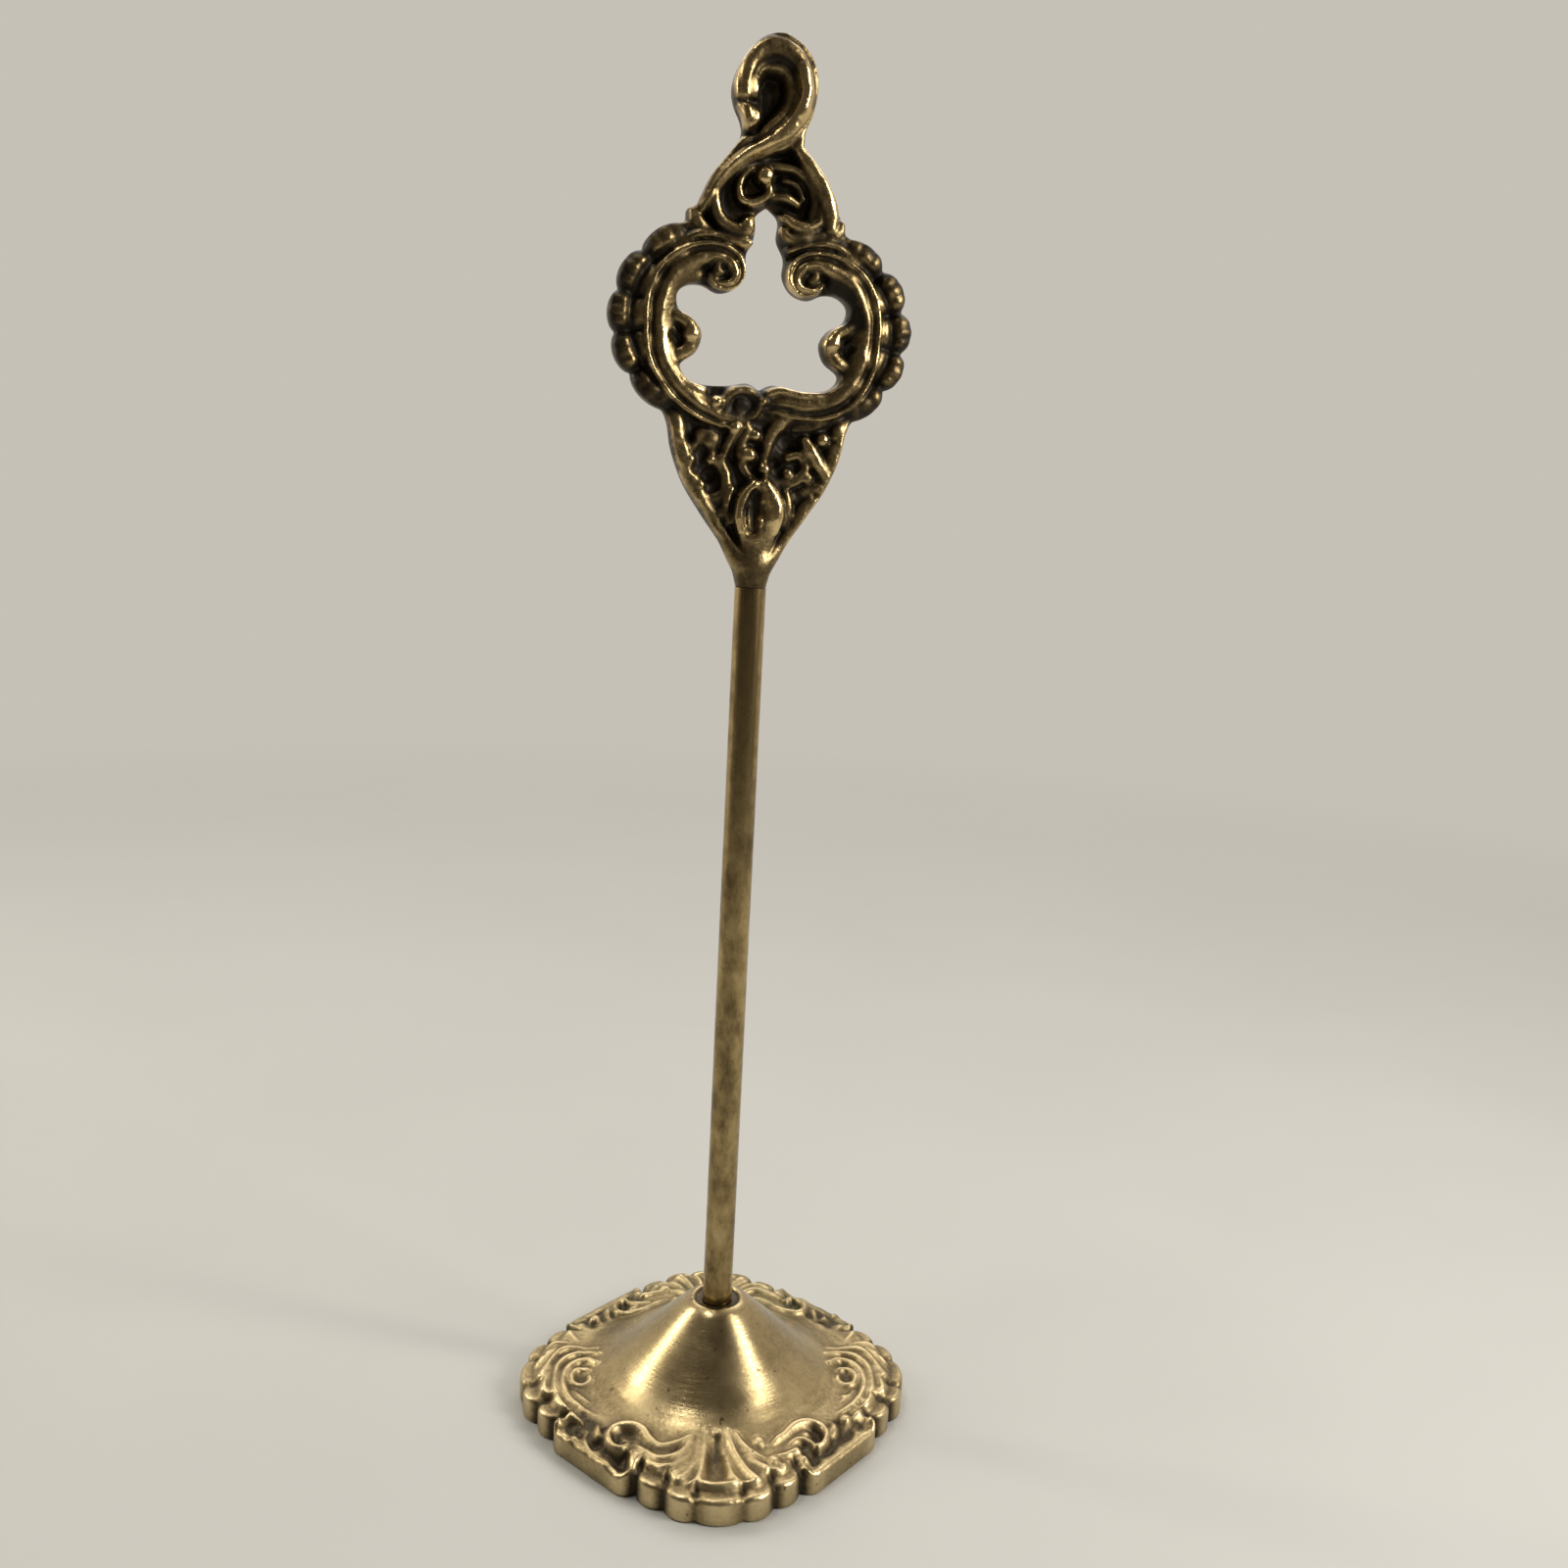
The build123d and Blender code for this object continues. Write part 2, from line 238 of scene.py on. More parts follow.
def surface_nets(field, low, step):
    """Vertices and quads round the zero level of a 3-D grid of numbers that are positive inside."""
    solid = field > 0
    shape = np.array(field.shape) - 1
    corners = np.array([(i, j, k) for i in (0, 1) for j in (0, 1) for k in (0, 1)])
    count = np.zeros(shape, int)
    for c in corners:
        count += solid[c[0]:c[0] + shape[0], c[1]:c[1] + shape[1], c[2]:c[2] + shape[2]]
    crossed = (count > 0) & (count < 8)
    index = np.full(shape, -1)
    index[crossed] = np.arange(crossed.sum())
    cells = np.argwhere(crossed)
    total = np.zeros((len(cells), 3))
    hits = np.zeros(len(cells))
    for a in corners:
        for axis in range(3):
            if a[axis]:
                continue
            b = a.copy()
            b[axis] = 1
            fa = field[tuple((cells + a).T)]
            fb = field[tuple((cells + b).T)]
            cut = (fa > 0) != (fb > 0)
            t = np.where(cut, fa / np.where(cut, fa - fb, 1), 0)
            total += cut[:, None] * (a + t[:, None] * (b - a))
            hits += cut
    verts = np.array(low) + (cells + total / hits[:, None]) * step
    quads = []
    for axis in range(3):
        one, two = [(1, 2), (2, 0), (0, 1)][axis]
        near = [slice(1, -1)] * 3
        near[axis] = slice(0, -1)
        far = [slice(1, -1)] * 3
        far[axis] = slice(1, None)
        for out in (True, False):
            edge = (solid[tuple(near)] == out) & (solid[tuple(far)] != out)
            at = np.argwhere(edge)
            at[:, one] += 1
            at[:, two] += 1
            ring = []
            for d1, d2 in ((0, 0), (1, 0), (1, 1), (0, 1)):
                cell = at.copy()
                cell[:, one] -= d1
                cell[:, two] -= d2
                ring.append(index[tuple(cell.T)])
            quads.append(np.stack(ring if not out else ring[::-1], 1))
    return verts, np.vstack(quads)


# ---------------------------------------------------------------- the head's relief
# Front view of the head in millimetres: u across, v up, heights in front of its middle plane.
HEAD_STEP = 0.33                          # of the height map and of the mesh
HEAD_DEPTHS = (-7.4, 5.2)                 # that the mesh may reach, front and back
BACK_LEVEL = 2.75                         # of the plain reverse, a hair under the clip
SOCKET_RADIUS, SOCKET_TOP = 2.5, NECK_BOTTOM + 10.2
RIVET_HOLE_RADIUS, RIVET_HOLE_DEPTH = 1.2, 2.4
# Half depth of the neck and half width of the body, as (height, size).
NECK_DEPTH = [(178.0, 3.22), (180.5, 3.3), (184.0, 4.1), (190.0, 4.2), (196.0, 3.6), (202.0, 3.0)]
BODY_EDGE = [(178.0, 3.22), (180.5, 3.28), (183.0, 3.95), (186.0, 5.6), (189.0, 7.1), (193.8, 10.4),
             (199.4, 14.2), (205.7, 16.8), (210.8, 17.8), (214.0, 19.2), (218.0, 20.2)]
# Finial and shoulders, from the right shoulder over the top to the left one.
CREST = [(17.6, 246.6), (15.8, 248.2), (15.2, 250.4), (13.0, 254.4), (9.8, 258.9), (6.9, 262.2),
         (6.6, 265.4), (7.8, 269.8), (8.3, 274.6), (7.2, 278.8), (4.2, 281.2), (0.6, 282.2), (-3.3, 280.7),
         (-6.3, 276.9), (-7.7, 272.6), (-7.2, 269.4), (-5.9, 266.8), (-5.6, 264.2), (-7.7, 261.0),
         (-10.7, 257.2), (-12.8, 252.9), (-13.7, 251.1), (-15.4, 250.3), (-15.7, 248.2), (-17.6, 246.6)]
# Half of the opening, from its apex round the volute and the bud to the notch in the sill.
OPENING = [(0.0, 252.0), (2.3, 249.8), (2.2, 246.2), (3.8, 242.9), (3.7, 239.6), (5.5, 236.7), (8.8, 235.6),
           (11.9, 236.8), (14.9, 236.6), (17.0, 234.7), (16.3, 232.0), (13.4, 230.3), (11.8, 227.6),
           (12.9, 224.3), (15.9, 221.9), (14.6, 219.5), (11.0, 218.5), (6.4, 218.6), (2.6, 219.3),
           (0.0, 218.1)]
SCROLL = (11.0, 230.0)                    # middle of a C-scroll
SCROLL_RADIUS = 16.9
# The frill: each lobe from one angle to the next, its inner edge and its notches from the scroll's
# middle, and how far the lobes stand out beyond the notches.
FRILL_LOBES = [(76, 44), (44, 16), (16, -10), (-10, -36), (-36, -70)]
FRILL_INNER, FRILL_NOTCH, FRILL_CROWN = 11.0, 17.0, 1.95
RIB_START, GULLY = 13.0, 14.9             # where its ribs begin, and the dark line along the scroll


def signed_distance(relief, outline):
    """Distance of each grid point to a closed line, positive inside it."""
    nearest = np.full(relief.U.shape, 1e9)
    crossings = np.zeros(relief.U.shape, int)
    for (u0, v0), (u1, v1) in zip(outline, np.roll(outline, -1, axis=0)):
        du, dv = u1 - u0, v1 - v0
        from_u, from_v = relief.U - u0, relief.V - v0
        t = np.clip((from_u * du + from_v * dv) / (du * du + dv * dv + 1e-12), 0, 1)
        nearest = np.minimum(nearest, (from_u - t * du) ** 2 + (from_v - t * dv) ** 2)
        if v0 != v1:
            spans = (relief.V >= min(v0, v1)) & (relief.V < max(v0, v1))
            crossings += spans & (relief.U < u0 + from_v * du / dv)
    return np.sqrt(nearest) * np.where(crossings % 2 == 1, 1, -1)


def head_outline(relief):
    """Sets relief.inside: the body, the two scrolls with their frills and the crest, less the opening."""
    turns = [radians(degrees) for degrees in range(-62, 66, 4)]
    ring = [(SCROLL[0] + SCROLL_RADIUS * cos(t), SCROLL[1] + SCROLL_RADIUS * sin(t)) for t in turns]
    body = curve_through([(edge, height) for height, edge in BODY_EDGE[:-1]], 4)
    right = np.vstack([body, ring])
    outline = np.vstack([right, curve_through(CREST, 5), right[::-1] * (-1, 1)])
    relief.inside = signed_distance(relief, outline)
    for side in BOTH_SIDES:
        for w, edge, distance, lobe, half_turn in frill_lobes(relief, side):
            within = np.minimum(edge - distance, (1 - np.abs(w)) * half_turn * 0.32 + 0.5)
            relief.inside = np.where(lobe, smooth_max(relief.inside, within, 0.5), relief.inside)
    half = curve_through(OPENING, 5)
    opening = np.vstack([half, half[-2:0:-1] * (-1, 1)])
    relief.inside = smooth_min(relief.inside, -signed_distance(relief, opening), 0.3)


def frill_lobes(relief, side):
    """For each lobe of a frill: place across it (-1 to 1), edge radius, radius, mask, half angle."""
    du, dv = side * relief.U - SCROLL[0], relief.V - SCROLL[1]
    distance = np.hypot(du, dv)
    turn = np.degrees(np.arctan2(dv, du))
    for high, low in FRILL_LOBES:
        half = (high - low) / 2
        w = (turn - (high + low) / 2) / half
        edge = FRILL_NOTCH + FRILL_CROWN * dome(w * 0.97)
        yield w, edge, distance, (distance > FRILL_INNER) & (np.abs(w) < 1.0), half


def frill(relief):
    """Scalloped lobes round the outside of each C-scroll, ribbed like a shell and cut deep between."""
    for side in BOTH_SIDES:
        for w, edge, distance, lobe, _ in frill_lobes(relief, side):
            out = np.clip((distance - RIB_START) / (edge - RIB_START), 0, 1)
            ribs = 0.42 * np.abs(np.cos(w * 1.75 * pi)) ** 0.7 * smooth_step(0.2, 0.6, out)
            crown = 2.3 * dome(w) ** 0.8 - 1.3 * out**4
            gully = 1.1 * np.exp(-((distance - GULLY) / 0.8) ** 2)
            face = np.where(lobe, crown + ribs - gully, -3)
            relief.height = np.maximum(relief.height, face)


def body_field(relief):
    """The solid body under the opening: a sunk ground inside a smooth raised border."""
    edge = blurred(np.interp(relief.V, *zip(*BODY_EDGE)), 4)
    within = np.minimum((edge - np.abs(relief.U)) * 0.86, 215.5 - relief.V)
    ground = 0.4 + 1.7 * smooth_step(3.9, 1.9, within) * smooth_step(216, 211, relief.V)
    ground = ground - 0.6 * smooth_step(0.8, 0.0, within)
    relief.height = np.where(within > 0, smooth_max(relief.height, ground, 0.3), relief.height)


def c_scrolls(relief):
    """The two big bands. The left one ends in a volute on the sill; the right one passes behind it."""
    upper = [(20.5, 228.6, 3.2, 2.4), (20.2, 233.6, 3.3, 2.4), (18.2, 238.2, 3.3, 2.4),
             (14.6, 241.0, 3.1, 2.3), (10.4, 242.2, 2.7, 2.3), (7.0, 241.4, 2.4, 2.3),
             (5.8, 239.2, 1.9, 2.3), (6.8, 237.4, 1.5, 2.2), (9.0, 237.2, 1.2, 2.0), (10.6, 238.4, 1.0, 1.9)]
    right = [(-0.6, 215.4, 1.3, 1.2), (3.6, 215.8, 2.3, 1.9), (8.4, 215.3, 2.8, 2.1), (13.2, 216.0, 3.1, 2.3),
             (17.2, 218.6, 3.2, 2.4), (19.8, 223.2, 3.2, 2.4)]
    left = [(-3.4, 212.2, 1.5, 1.6), (-7.6, 212.6, 2.2, 2.0), (-12.2, 214.6, 2.8, 2.3),
            (-16.5, 218.0, 3.0, 2.5), (-19.7, 222.9, 3.1, 2.5)]
    relief.stroke(right + upper, foot=0.5, profile=scroll_band)
    relief.stroke([(-u, v, w, h) for u, v, w, h in left]+
                  upper, foot=0.5, profile=scroll_band, sides=LEFT_SIDE)
    # Volutes at the apex end: nearly closed, with a small knob at the heart.
    relief.knob(9.4, 239.4, 1.7, 1.2, foot=0.9, sides=BOTH_SIDES)
    relief.hollow(8.3, 240.3, 0.7, 0.7, sides=BOTH_SIDES)
    relief.stroke([(7.4, 238.4, 0.35, -0.6), (9.2, 237.9, 0.4, -0.6), (10.9, 239.3, 0.4, -0.6),
                   (10.2, 241.1, 0.4, -0.6), (8.0, 241.3, 0.35, -0.5)], add=True, sides=BOTH_SIDES)
    # Inner wall of the band, down to the opening.
    relief.stroke([(18.0, 229.6, 1.2, 0.9), (18.2, 233.2, 1.5, 1.2), (16.4, 236.9, 1.6, 1.3),
                   (13.2, 238.4, 1.4, 1.2)], foot=0.3, sides=BOTH_SIDES)
    # Two thin fillets along the top of the band, running into the upper volutes.
    relief.stroke([(4.4, 244.2, 0.7, 1.2), (8.6, 245.6, 0.8, 1.4), (13.6, 245.6, 0.9, 1.3),
                   (18.0, 243.0, 0.8, 1.0)], foot=1.0, sides=BOTH_SIDES)


def buds(relief):
    """The hooked bud that points into the opening from each side."""
    relief.stroke([(20.2, 231.6, 1.1, 1.4), (17.6, 231.0, 1.4, 1.8), (15.2, 229.9, 1.5, 2.1),
                   (13.6, 228.2, 1.7, 2.2)], foot=0.2, sides=BOTH_SIDES)
    relief.knob(13.9, 227.6, 2.1, 2.5, foot=0.3, sides=BOTH_SIDES)
    relief.stroke([(13.6, 226.2, 1.5, 1.9), (15.2, 224.2, 1.7, 1.8), (17.8, 223.0, 1.5, 1.5)],
                  foot=0.2, sides=BOTH_SIDES)
    relief.stroke([(19.2, 229.0, 0.7, 1.3), (17.4, 228.2, 0.8, 1.5), (17.0, 226.6, 0.7, 1.1)],
                  foot=-0.2, sides=BOTH_SIDES)
    relief.hollow(17.6, 227.0, 1.0, 0.8, sides=BOTH_SIDES)


def sill(relief):
    """The left band's closing volute, and the leaf of the right band that rises behind it."""
    relief.knob(-3.6, 215.0, 4.0, 1.9, foot=0.2)
    relief.stroke([(-6.8, 213.6, 1.0, 1.4), (-6.9, 215.8, 1.1, 1.5), (-5.0, 217.6, 1.1, 1.6),
                   (-2.2, 217.6, 1.1, 1.6), (-0.4, 215.8, 1.1, 1.6), (-0.9, 213.6, 1.0, 1.5),
                   (-2.8, 212.9, 0.9, 1.4)], foot=0.7)
    relief.stroke([(-5.6, 214.4, 0.4, -0.5), (-5.2, 216.2, 0.5, -0.6), (-3.2, 216.6, 0.5, -0.6),
                   (-1.8, 215.2, 0.5, -0.6), (-2.8, 213.9, 0.4, -0.5)], add=True)
    relief.knob(-8.7, 215.2, 1.4, 2.0, foot=1.3)
    relief.knob(0.3, 215.9, 0.9, 1.0, foot=2.0)
    relief.stroke([(1.2, 217.4, 0.9, 1.4), (4.2, 218.2, 1.0, 1.6), (8.4, 217.6, 1.0, 1.6),
                   (13.2, 217.8, 0.9, 1.4), (16.2, 219.8, 0.9, 1.3)], foot=1.0)
    relief.stroke([(-17.2, 221.4, 0.9, 1.5), (-15.0, 218.6, 1.0, 1.6), (-11.4, 217.2, 0.9, 1.3)], foot=1.0)


def apex(relief):
    """The small volutes either side of the opening's apex, and the leaf tips outside them."""
    relief.stroke([(-10.4, 254.4, 1.0, 1.4), (-10.4, 251.2, 1.3, 1.7), (-9.0, 248.4, 1.5, 1.9),
                   (-6.2, 247.0, 1.6, 2.1), (-3.8, 247.4, 1.5, 2.3), (-3.4, 249.0, 1.1, 2.2)], foot=0.3)
    relief.knob(-4.1, 248.3, 1.2, 1.0, foot=2.0)
    relief.stroke([(9.8, 252.4, 0.9, 1.3), (10.0, 250.0, 1.2, 1.5), (8.2, 248.6, 1.5, 1.8),
                   (5.4, 248.9, 1.5, 2.0), (3.2, 250.2, 1.0, 1.7)], foot=0.3)
    relief.stroke([(10.6, 247.6, 1.0, 1.3), (7.2, 246.6, 1.3, 1.7), (4.2, 246.4, 1.3, 1.9),
                   (2.9, 247.8, 0.8, 1.5)], foot=0.5)
    relief.stroke([(-8.2, 244.9, 0.8, 1.2), (-5.4, 245.2, 1.0, 1.6), (-3.2, 244.6, 0.8, 1.4)], foot=0.8)
    relief.stroke([(11.6, 246.4, 1.2, 1.4), (13.8, 248.2, 1.4, 1.5), (14.6, 249.8, 0.9, 0.9)],
                  foot=0.4, sides=BOTH_SIDES)
    relief.stroke([(13.2, 246.2, 1.0, 1.0), (15.8, 246.9, 1.1, 1.0)], foot=0.4, sides=BOTH_SIDES)
    relief.hollow(-7.6, 251.6, 1.5, 1.2)
    relief.hollow(7.0, 250.9, 0.9, 0.8)


def arch(relief):
    """The arch over the apex: two ridges, a little volute in the middle and a leaf beside it."""
    relief.stroke([(5.0, 262.6, 1.3, 2.0), (8.0, 259.2, 1.7, 2.3), (10.6, 255.5, 1.9, 2.4),
                   (12.0, 251.8, 1.8, 2.2), (12.2, 248.8, 1.5, 1.8)], foot=0.5)
    relief.stroke([(-3.8, 260.4, 0.7, 1.4), (0.6, 259.2, 1.0, 1.7), (4.8, 258.8, 1.1, 1.9),
                   (7.8, 256.4, 1.1, 2.0), (8.9, 253.2, 1.0, 1.9), (8.3, 250.6, 0.9, 1.5)], foot=-0.4)
    relief.stroke([(2.6, 256.9, 0.7, 1.3), (5.2, 256.2, 0.8, 1.4), (6.8, 253.8, 0.7, 1.2)], foot=-0.5)
    relief.stroke([(-0.4, 257.4, 0.9, 2.1), (-2.8, 258.4, 1.0, 2.2), (-5.2, 257.0, 1.0, 2.1),
                   (-5.9, 254.4, 1.0, 2.0), (-4.8, 252.4, 1.1, 2.0), (-2.2, 252.6, 1.2, 2.1),
                   (-0.2, 254.2, 1.1, 2.2), (-0.4, 256.4, 1.0, 2.3)], foot=-0.5)
    relief.knob(-1.2, 257.1, 1.8, 1.9, foot=1.3)
    relief.hollow(-3.3, 255.2, 1.1, 0.9)
    relief.stroke([(0.8, 253.6, 1.0, 1.6), (3.4, 253.7, 1.2, 1.7), (5.6, 252.6, 1.0, 1.4)], foot=-0.6)


def finial(relief):
    """The big S-band that rises from the left leg, swings right and curls over at the top."""
    relief.stroke([(-13.0, 250.6, 1.3, 1.6), (-11.8, 253.6, 1.9, 1.9), (-9.6, 257.2, 2.3, 2.2),
                   (-6.2, 260.6, 2.7, 2.6), (-1.9, 263.2, 3.0, 2.9), (1.8, 265.6, 3.3, 3.2),
                   (4.6, 269.4, 3.5, 3.5), (5.1, 273.4, 3.5, 3.6), (3.4, 277.2, 3.8, 3.7),
                   (-0.4, 278.7, 4.1, 3.6), (-3.9, 277.0, 3.6, 3.3), (-5.2, 273.4, 2.7, 3.1),
                   (-5.0, 270.0, 2.4, 3.0), (-4.5, 267.4, 2.1, 3.0), (-4.3, 265.8, 1.5, 2.6)],
                  foot=0.3, profile=finial_band)
    relief.knob(-4.5, 267.2, 2.0, 1.1, foot=1.9)
    relief.knob(-5.2, 272.2, 2.2, 0.7, foot=2.1)
    relief.stroke([(-7.3, 269.9, 0.5, -1.0), (-5.2, 269.6, 0.6, -1.0), (-3.2, 269.8, 0.5, -1.0)], add=True)
    relief.stroke([(4.9, 275.6, 1.6, 0.5), (5.2, 272.0, 1.9, 0.6), (4.4, 268.6, 1.4, 0.4)], add=True)
    # Parallel flutes up the left leg, and the fillet down the right side of the neck.
    relief.stroke([(-12.6, 252.0, 0.4, -0.5), (-10.9, 255.6, 0.5, -0.7), (-8.2, 259.2, 0.5, -0.8),
                   (-4.6, 262.2, 0.5, -0.8), (-0.6, 264.6, 0.5, -0.6)], add=True)
    relief.stroke([(6.3, 268.0, 0.7, 1.3), (5.6, 265.2, 1.0, 1.6), (5.2, 263.0, 1.1, 1.6)], foot=0.6)
    relief.stroke([(-1.4, 261.6, 0.7, 0.9), (2.4, 262.6, 0.9, 1.1), (4.4, 264.6, 0.7, 0.8)], foot=0.9)


def vines(relief):
    """The vine, leaves and berries on the sunk ground of the body."""
    for u, v, radius, rise in [
        (-16.0, 210.2, 1.2, 1.5), (-15.5, 208.1, 1.2, 1.6), (-14.7, 206.0, 1.3, 1.7),
        (-13.4, 204.3, 1.2, 1.6), (-11.4, 199.5, 1.4, 1.7), (-4.9, 210.7, 1.5, 1.9),
        (-0.6, 209.5, 1.3, 1.6), (1.3, 203.2, 1.5, 1.9), (-1.2, 201.0, 1.2, 1.5), (-1.9, 205.7, 1.8, 2.3),
        (12.8, 209.4, 1.6, 1.8), (16.0, 211.3, 1.5, 1.6), (-6.9, 194.5, 1.3, 1.6), (6.9, 194.4, 1.2, 1.5),
        (2.8, 189.8, 1.3, 1.4), (-9.2, 204.4, 1.2, 1.2), (10.2, 201.8, 1.3, 1.4), (-9.8, 208.0, 1.5, 1.2),
        (6.2, 202.4, 1.3, 1.3), (1.8, 199.6, 1.2, 1.2), (-6.0, 200.0, 1.2, 1.2), (14.6, 206.4, 1.2, 1.2),
        (4.4, 211.6, 1.3, 1.2), (-7.6, 211.2, 1.2, 1.2),
    ]:
        relief.knob(u, v, radius, rise, foot=0.7)
    for line in [
        [(-14.8, 201.2, 1.0, 1.2), (-12.2, 198.4, 1.2, 1.4), (-9.2, 197.0, 1.2, 1.5),
         (-6.6, 198.4, 1.2, 1.6), (-6.2, 201.4, 1.3, 1.6), (-7.4, 204.4, 1.3, 1.6), (-6.2, 207.4, 1.2, 1.6),
         (-4.8, 210.0, 1.1, 1.5)],
        [(-13.0, 206.6, 1.1, 1.1), (-11.4, 209.4, 1.3, 1.3), (-8.8, 208.8, 1.3, 1.3),
         (-9.2, 206.2, 1.0, 1.1)],
        [(-0.2, 200.4, 1.0, 1.3), (-2.6, 202.8, 1.2, 1.5), (-3.6, 207.0, 1.3, 1.6), (-2.2, 210.6, 1.2, 1.4),
         (-4.0, 212.4, 1.0, 1.1)],
        [(1.0, 204.6, 1.2, 1.5), (1.8, 208.2, 1.4, 1.7), (3.6, 211.6, 1.6, 1.8), (6.8, 214.0, 1.4, 1.4)],
        [(2.0, 201.8, 1.1, 1.4), (4.6, 200.3, 1.3, 1.6), (7.9, 201.3, 1.3, 1.6), (9.6, 203.8, 1.3, 1.6),
         (8.4, 206.2, 1.2, 1.5), (6.2, 205.6, 1.0, 1.3)],
        [(9.4, 209.0, 1.3, 1.8), (10.6, 206.9, 1.7, 2.3), (12.4, 204.6, 1.7, 2.2), (14.0, 202.4, 1.3, 1.8)],
        [(7.4, 211.4, 1.1, 1.1), (10.2, 211.8, 1.3, 1.3), (13.0, 212.9, 1.2, 1.2)],
        [(5.6, 196.8, 1.0, 1.2), (8.6, 198.6, 1.2, 1.4), (12.0, 200.2, 1.1, 1.3)],
        [(-12.2, 212.2, 1.0, 0.9), (-8.6, 211.4, 1.1, 1.1), (-5.8, 212.6, 1.0, 1.0)],
        [(-9.6, 194.6, 0.8, 0.9), (-7.6, 196.2, 1.0, 1.1), (-5.4, 197.4, 0.8, 1.0)],
    ]:
        relief.stroke(line, foot=0.4, soft=0.5)
    for u, v, radius, depth in [
        (5.6, 208.6, 1.9, 1.2), (7.6, 208.0, 1.2, 0.8), (3.6, 204.4, 1.1, 0.9), (-9.6, 201.4, 1.6, 1.1),
        (-12.4, 202.4, 1.0, 0.8), (-13.4, 208.4, 1.0, 0.9), (-7.6, 206.2, 0.9, 0.8), (8.4, 198.3, 1.0, 0.8),
        (11.8, 198.8, 0.9, 0.6), (0.4, 207.0, 0.9, 0.8), (-4.6, 204.6, 0.8, 0.8), (11.0, 209.8, 0.8, 0.8),
        (-2.6, 198.8, 0.8, 0.8), (15.0, 209.2, 0.8, 0.7), (-10.6, 211.0, 0.8, 0.6), (12.4, 201.6, 0.8, 0.6),
    ]:
        relief.hollow(u, v, radius, depth)


def leaf_bud(relief):
    """The closed bud at the foot of the vine, where the body draws in to the neck."""
    relief.stroke([(0.2, 186.6, 2.2, 0.6), (0.3, 190.6, 4.0, 2.0), (0.3, 194.6, 3.9, 2.3),
                   (0.3, 198.4, 2.2, 1.8)], foot=2.2, soft=0.8)
    relief.stroke([(-0.8, 200.2, 1.0, 1.2), (-2.8, 197.6, 1.3, 1.5), (-3.6, 194.4, 1.2, 1.5),
                   (-3.0, 191.2, 1.0, 1.0)], foot=3.0, soft=0.5)
    relief.stroke([(1.4, 200.4, 1.2, 1.6), (2.8, 197.8, 1.9, 2.1), (3.5, 194.8, 2.0, 2.2),
                   (3.2, 191.6, 1.5, 1.4)], foot=3.0, soft=0.5)
    relief.stroke([(-0.6, 198.2, 1.2, -1.1), (-1.1, 194.9, 1.9, -2.0), (-0.9, 191.6, 1.4, -1.1)], add=True)
    relief.stroke([(-1.6, 196.4, 0.5, 0.7), (-1.8, 193.6, 0.6, 0.8), (-1.4, 191.4, 0.5, 0.5)], add=True)
    relief.stroke([(0.9, 196.6, 0.3, -0.7), (1.2, 193.6, 0.4, -0.8), (1.0, 191.0, 0.3, -0.5)], add=True)
    relief.stroke([(-5.2, 199.0, 0.9, 1.1), (-6.0, 196.2, 1.0, 1.3), (-5.4, 192.8, 0.9, 1.0)], foot=1.5)
    relief.stroke([(5.8, 198.8, 0.9, 1.1), (6.4, 196.0, 1.0, 1.2), (5.7, 192.8, 0.9, 1.0)], foot=1.6)


def head_relief():
    """All of the head's front as one height map. A groove cuts only what is drawn before it."""
    relief = Relief((-32.0, NECK_BOTTOM - 2.0), (32.0, HEAD_TOP + 1.5), HEAD_STEP, ground=-1.0)
    head_outline(relief)
    # Ground levels: sunk behind the arch and in the finial's slot, higher along the scrolls.
    away = np.hypot(np.abs(relief.U) - SCROLL[0], relief.V - SCROLL[1])
    relief.height = relief.height + 1.1 * smooth_step(19, 15, away) + 0.6 * smooth_step(214, 211, relief.V)
    relief.height = relief.height - 0.4 * smooth_step(265, 267, relief.V)
    for draw in (frill, body_field, apex, arch, finial, vines, c_scrolls, buds, sill, leaf_bud):
        draw(relief)
    return relief


def head_skins(relief):
    """How far the front stands before the head's middle plane, and the plain back behind it."""
    lumps = blurred(np.random.RandomState(5).normal(size=relief.U.shape), 2.4)
    cast_lumps = 0.09 * lumps / lumps.std() * smooth_step(186, 192, relief.V)
    front = smooth_max(blurred(relief.height, 0.65), -0.9, 0.4) + cast_lumps
    rear = BACK_LEVEL - 0.4 * smooth_step(1.0, 2.6, relief.inside) * smooth_step(218.0, 220.0, relief.V)
    # Further down both pass into the round neck.
    edge = np.interp(relief.V, *zip(*BODY_EDGE))
    depth = np.interp(relief.V, *zip(*NECK_DEPTH))
    neck = depth * np.sqrt(np.clip(1 - (relief.U / edge) ** 2, 0, 1))
    to_relief = smooth_step(184.5, 190.5, relief.V)
    to_flat = smooth_step(187.0, 194.5, relief.V)
    return front * to_relief + neck * (1 - to_relief), rear * to_flat + neck * (1 - to_flat)


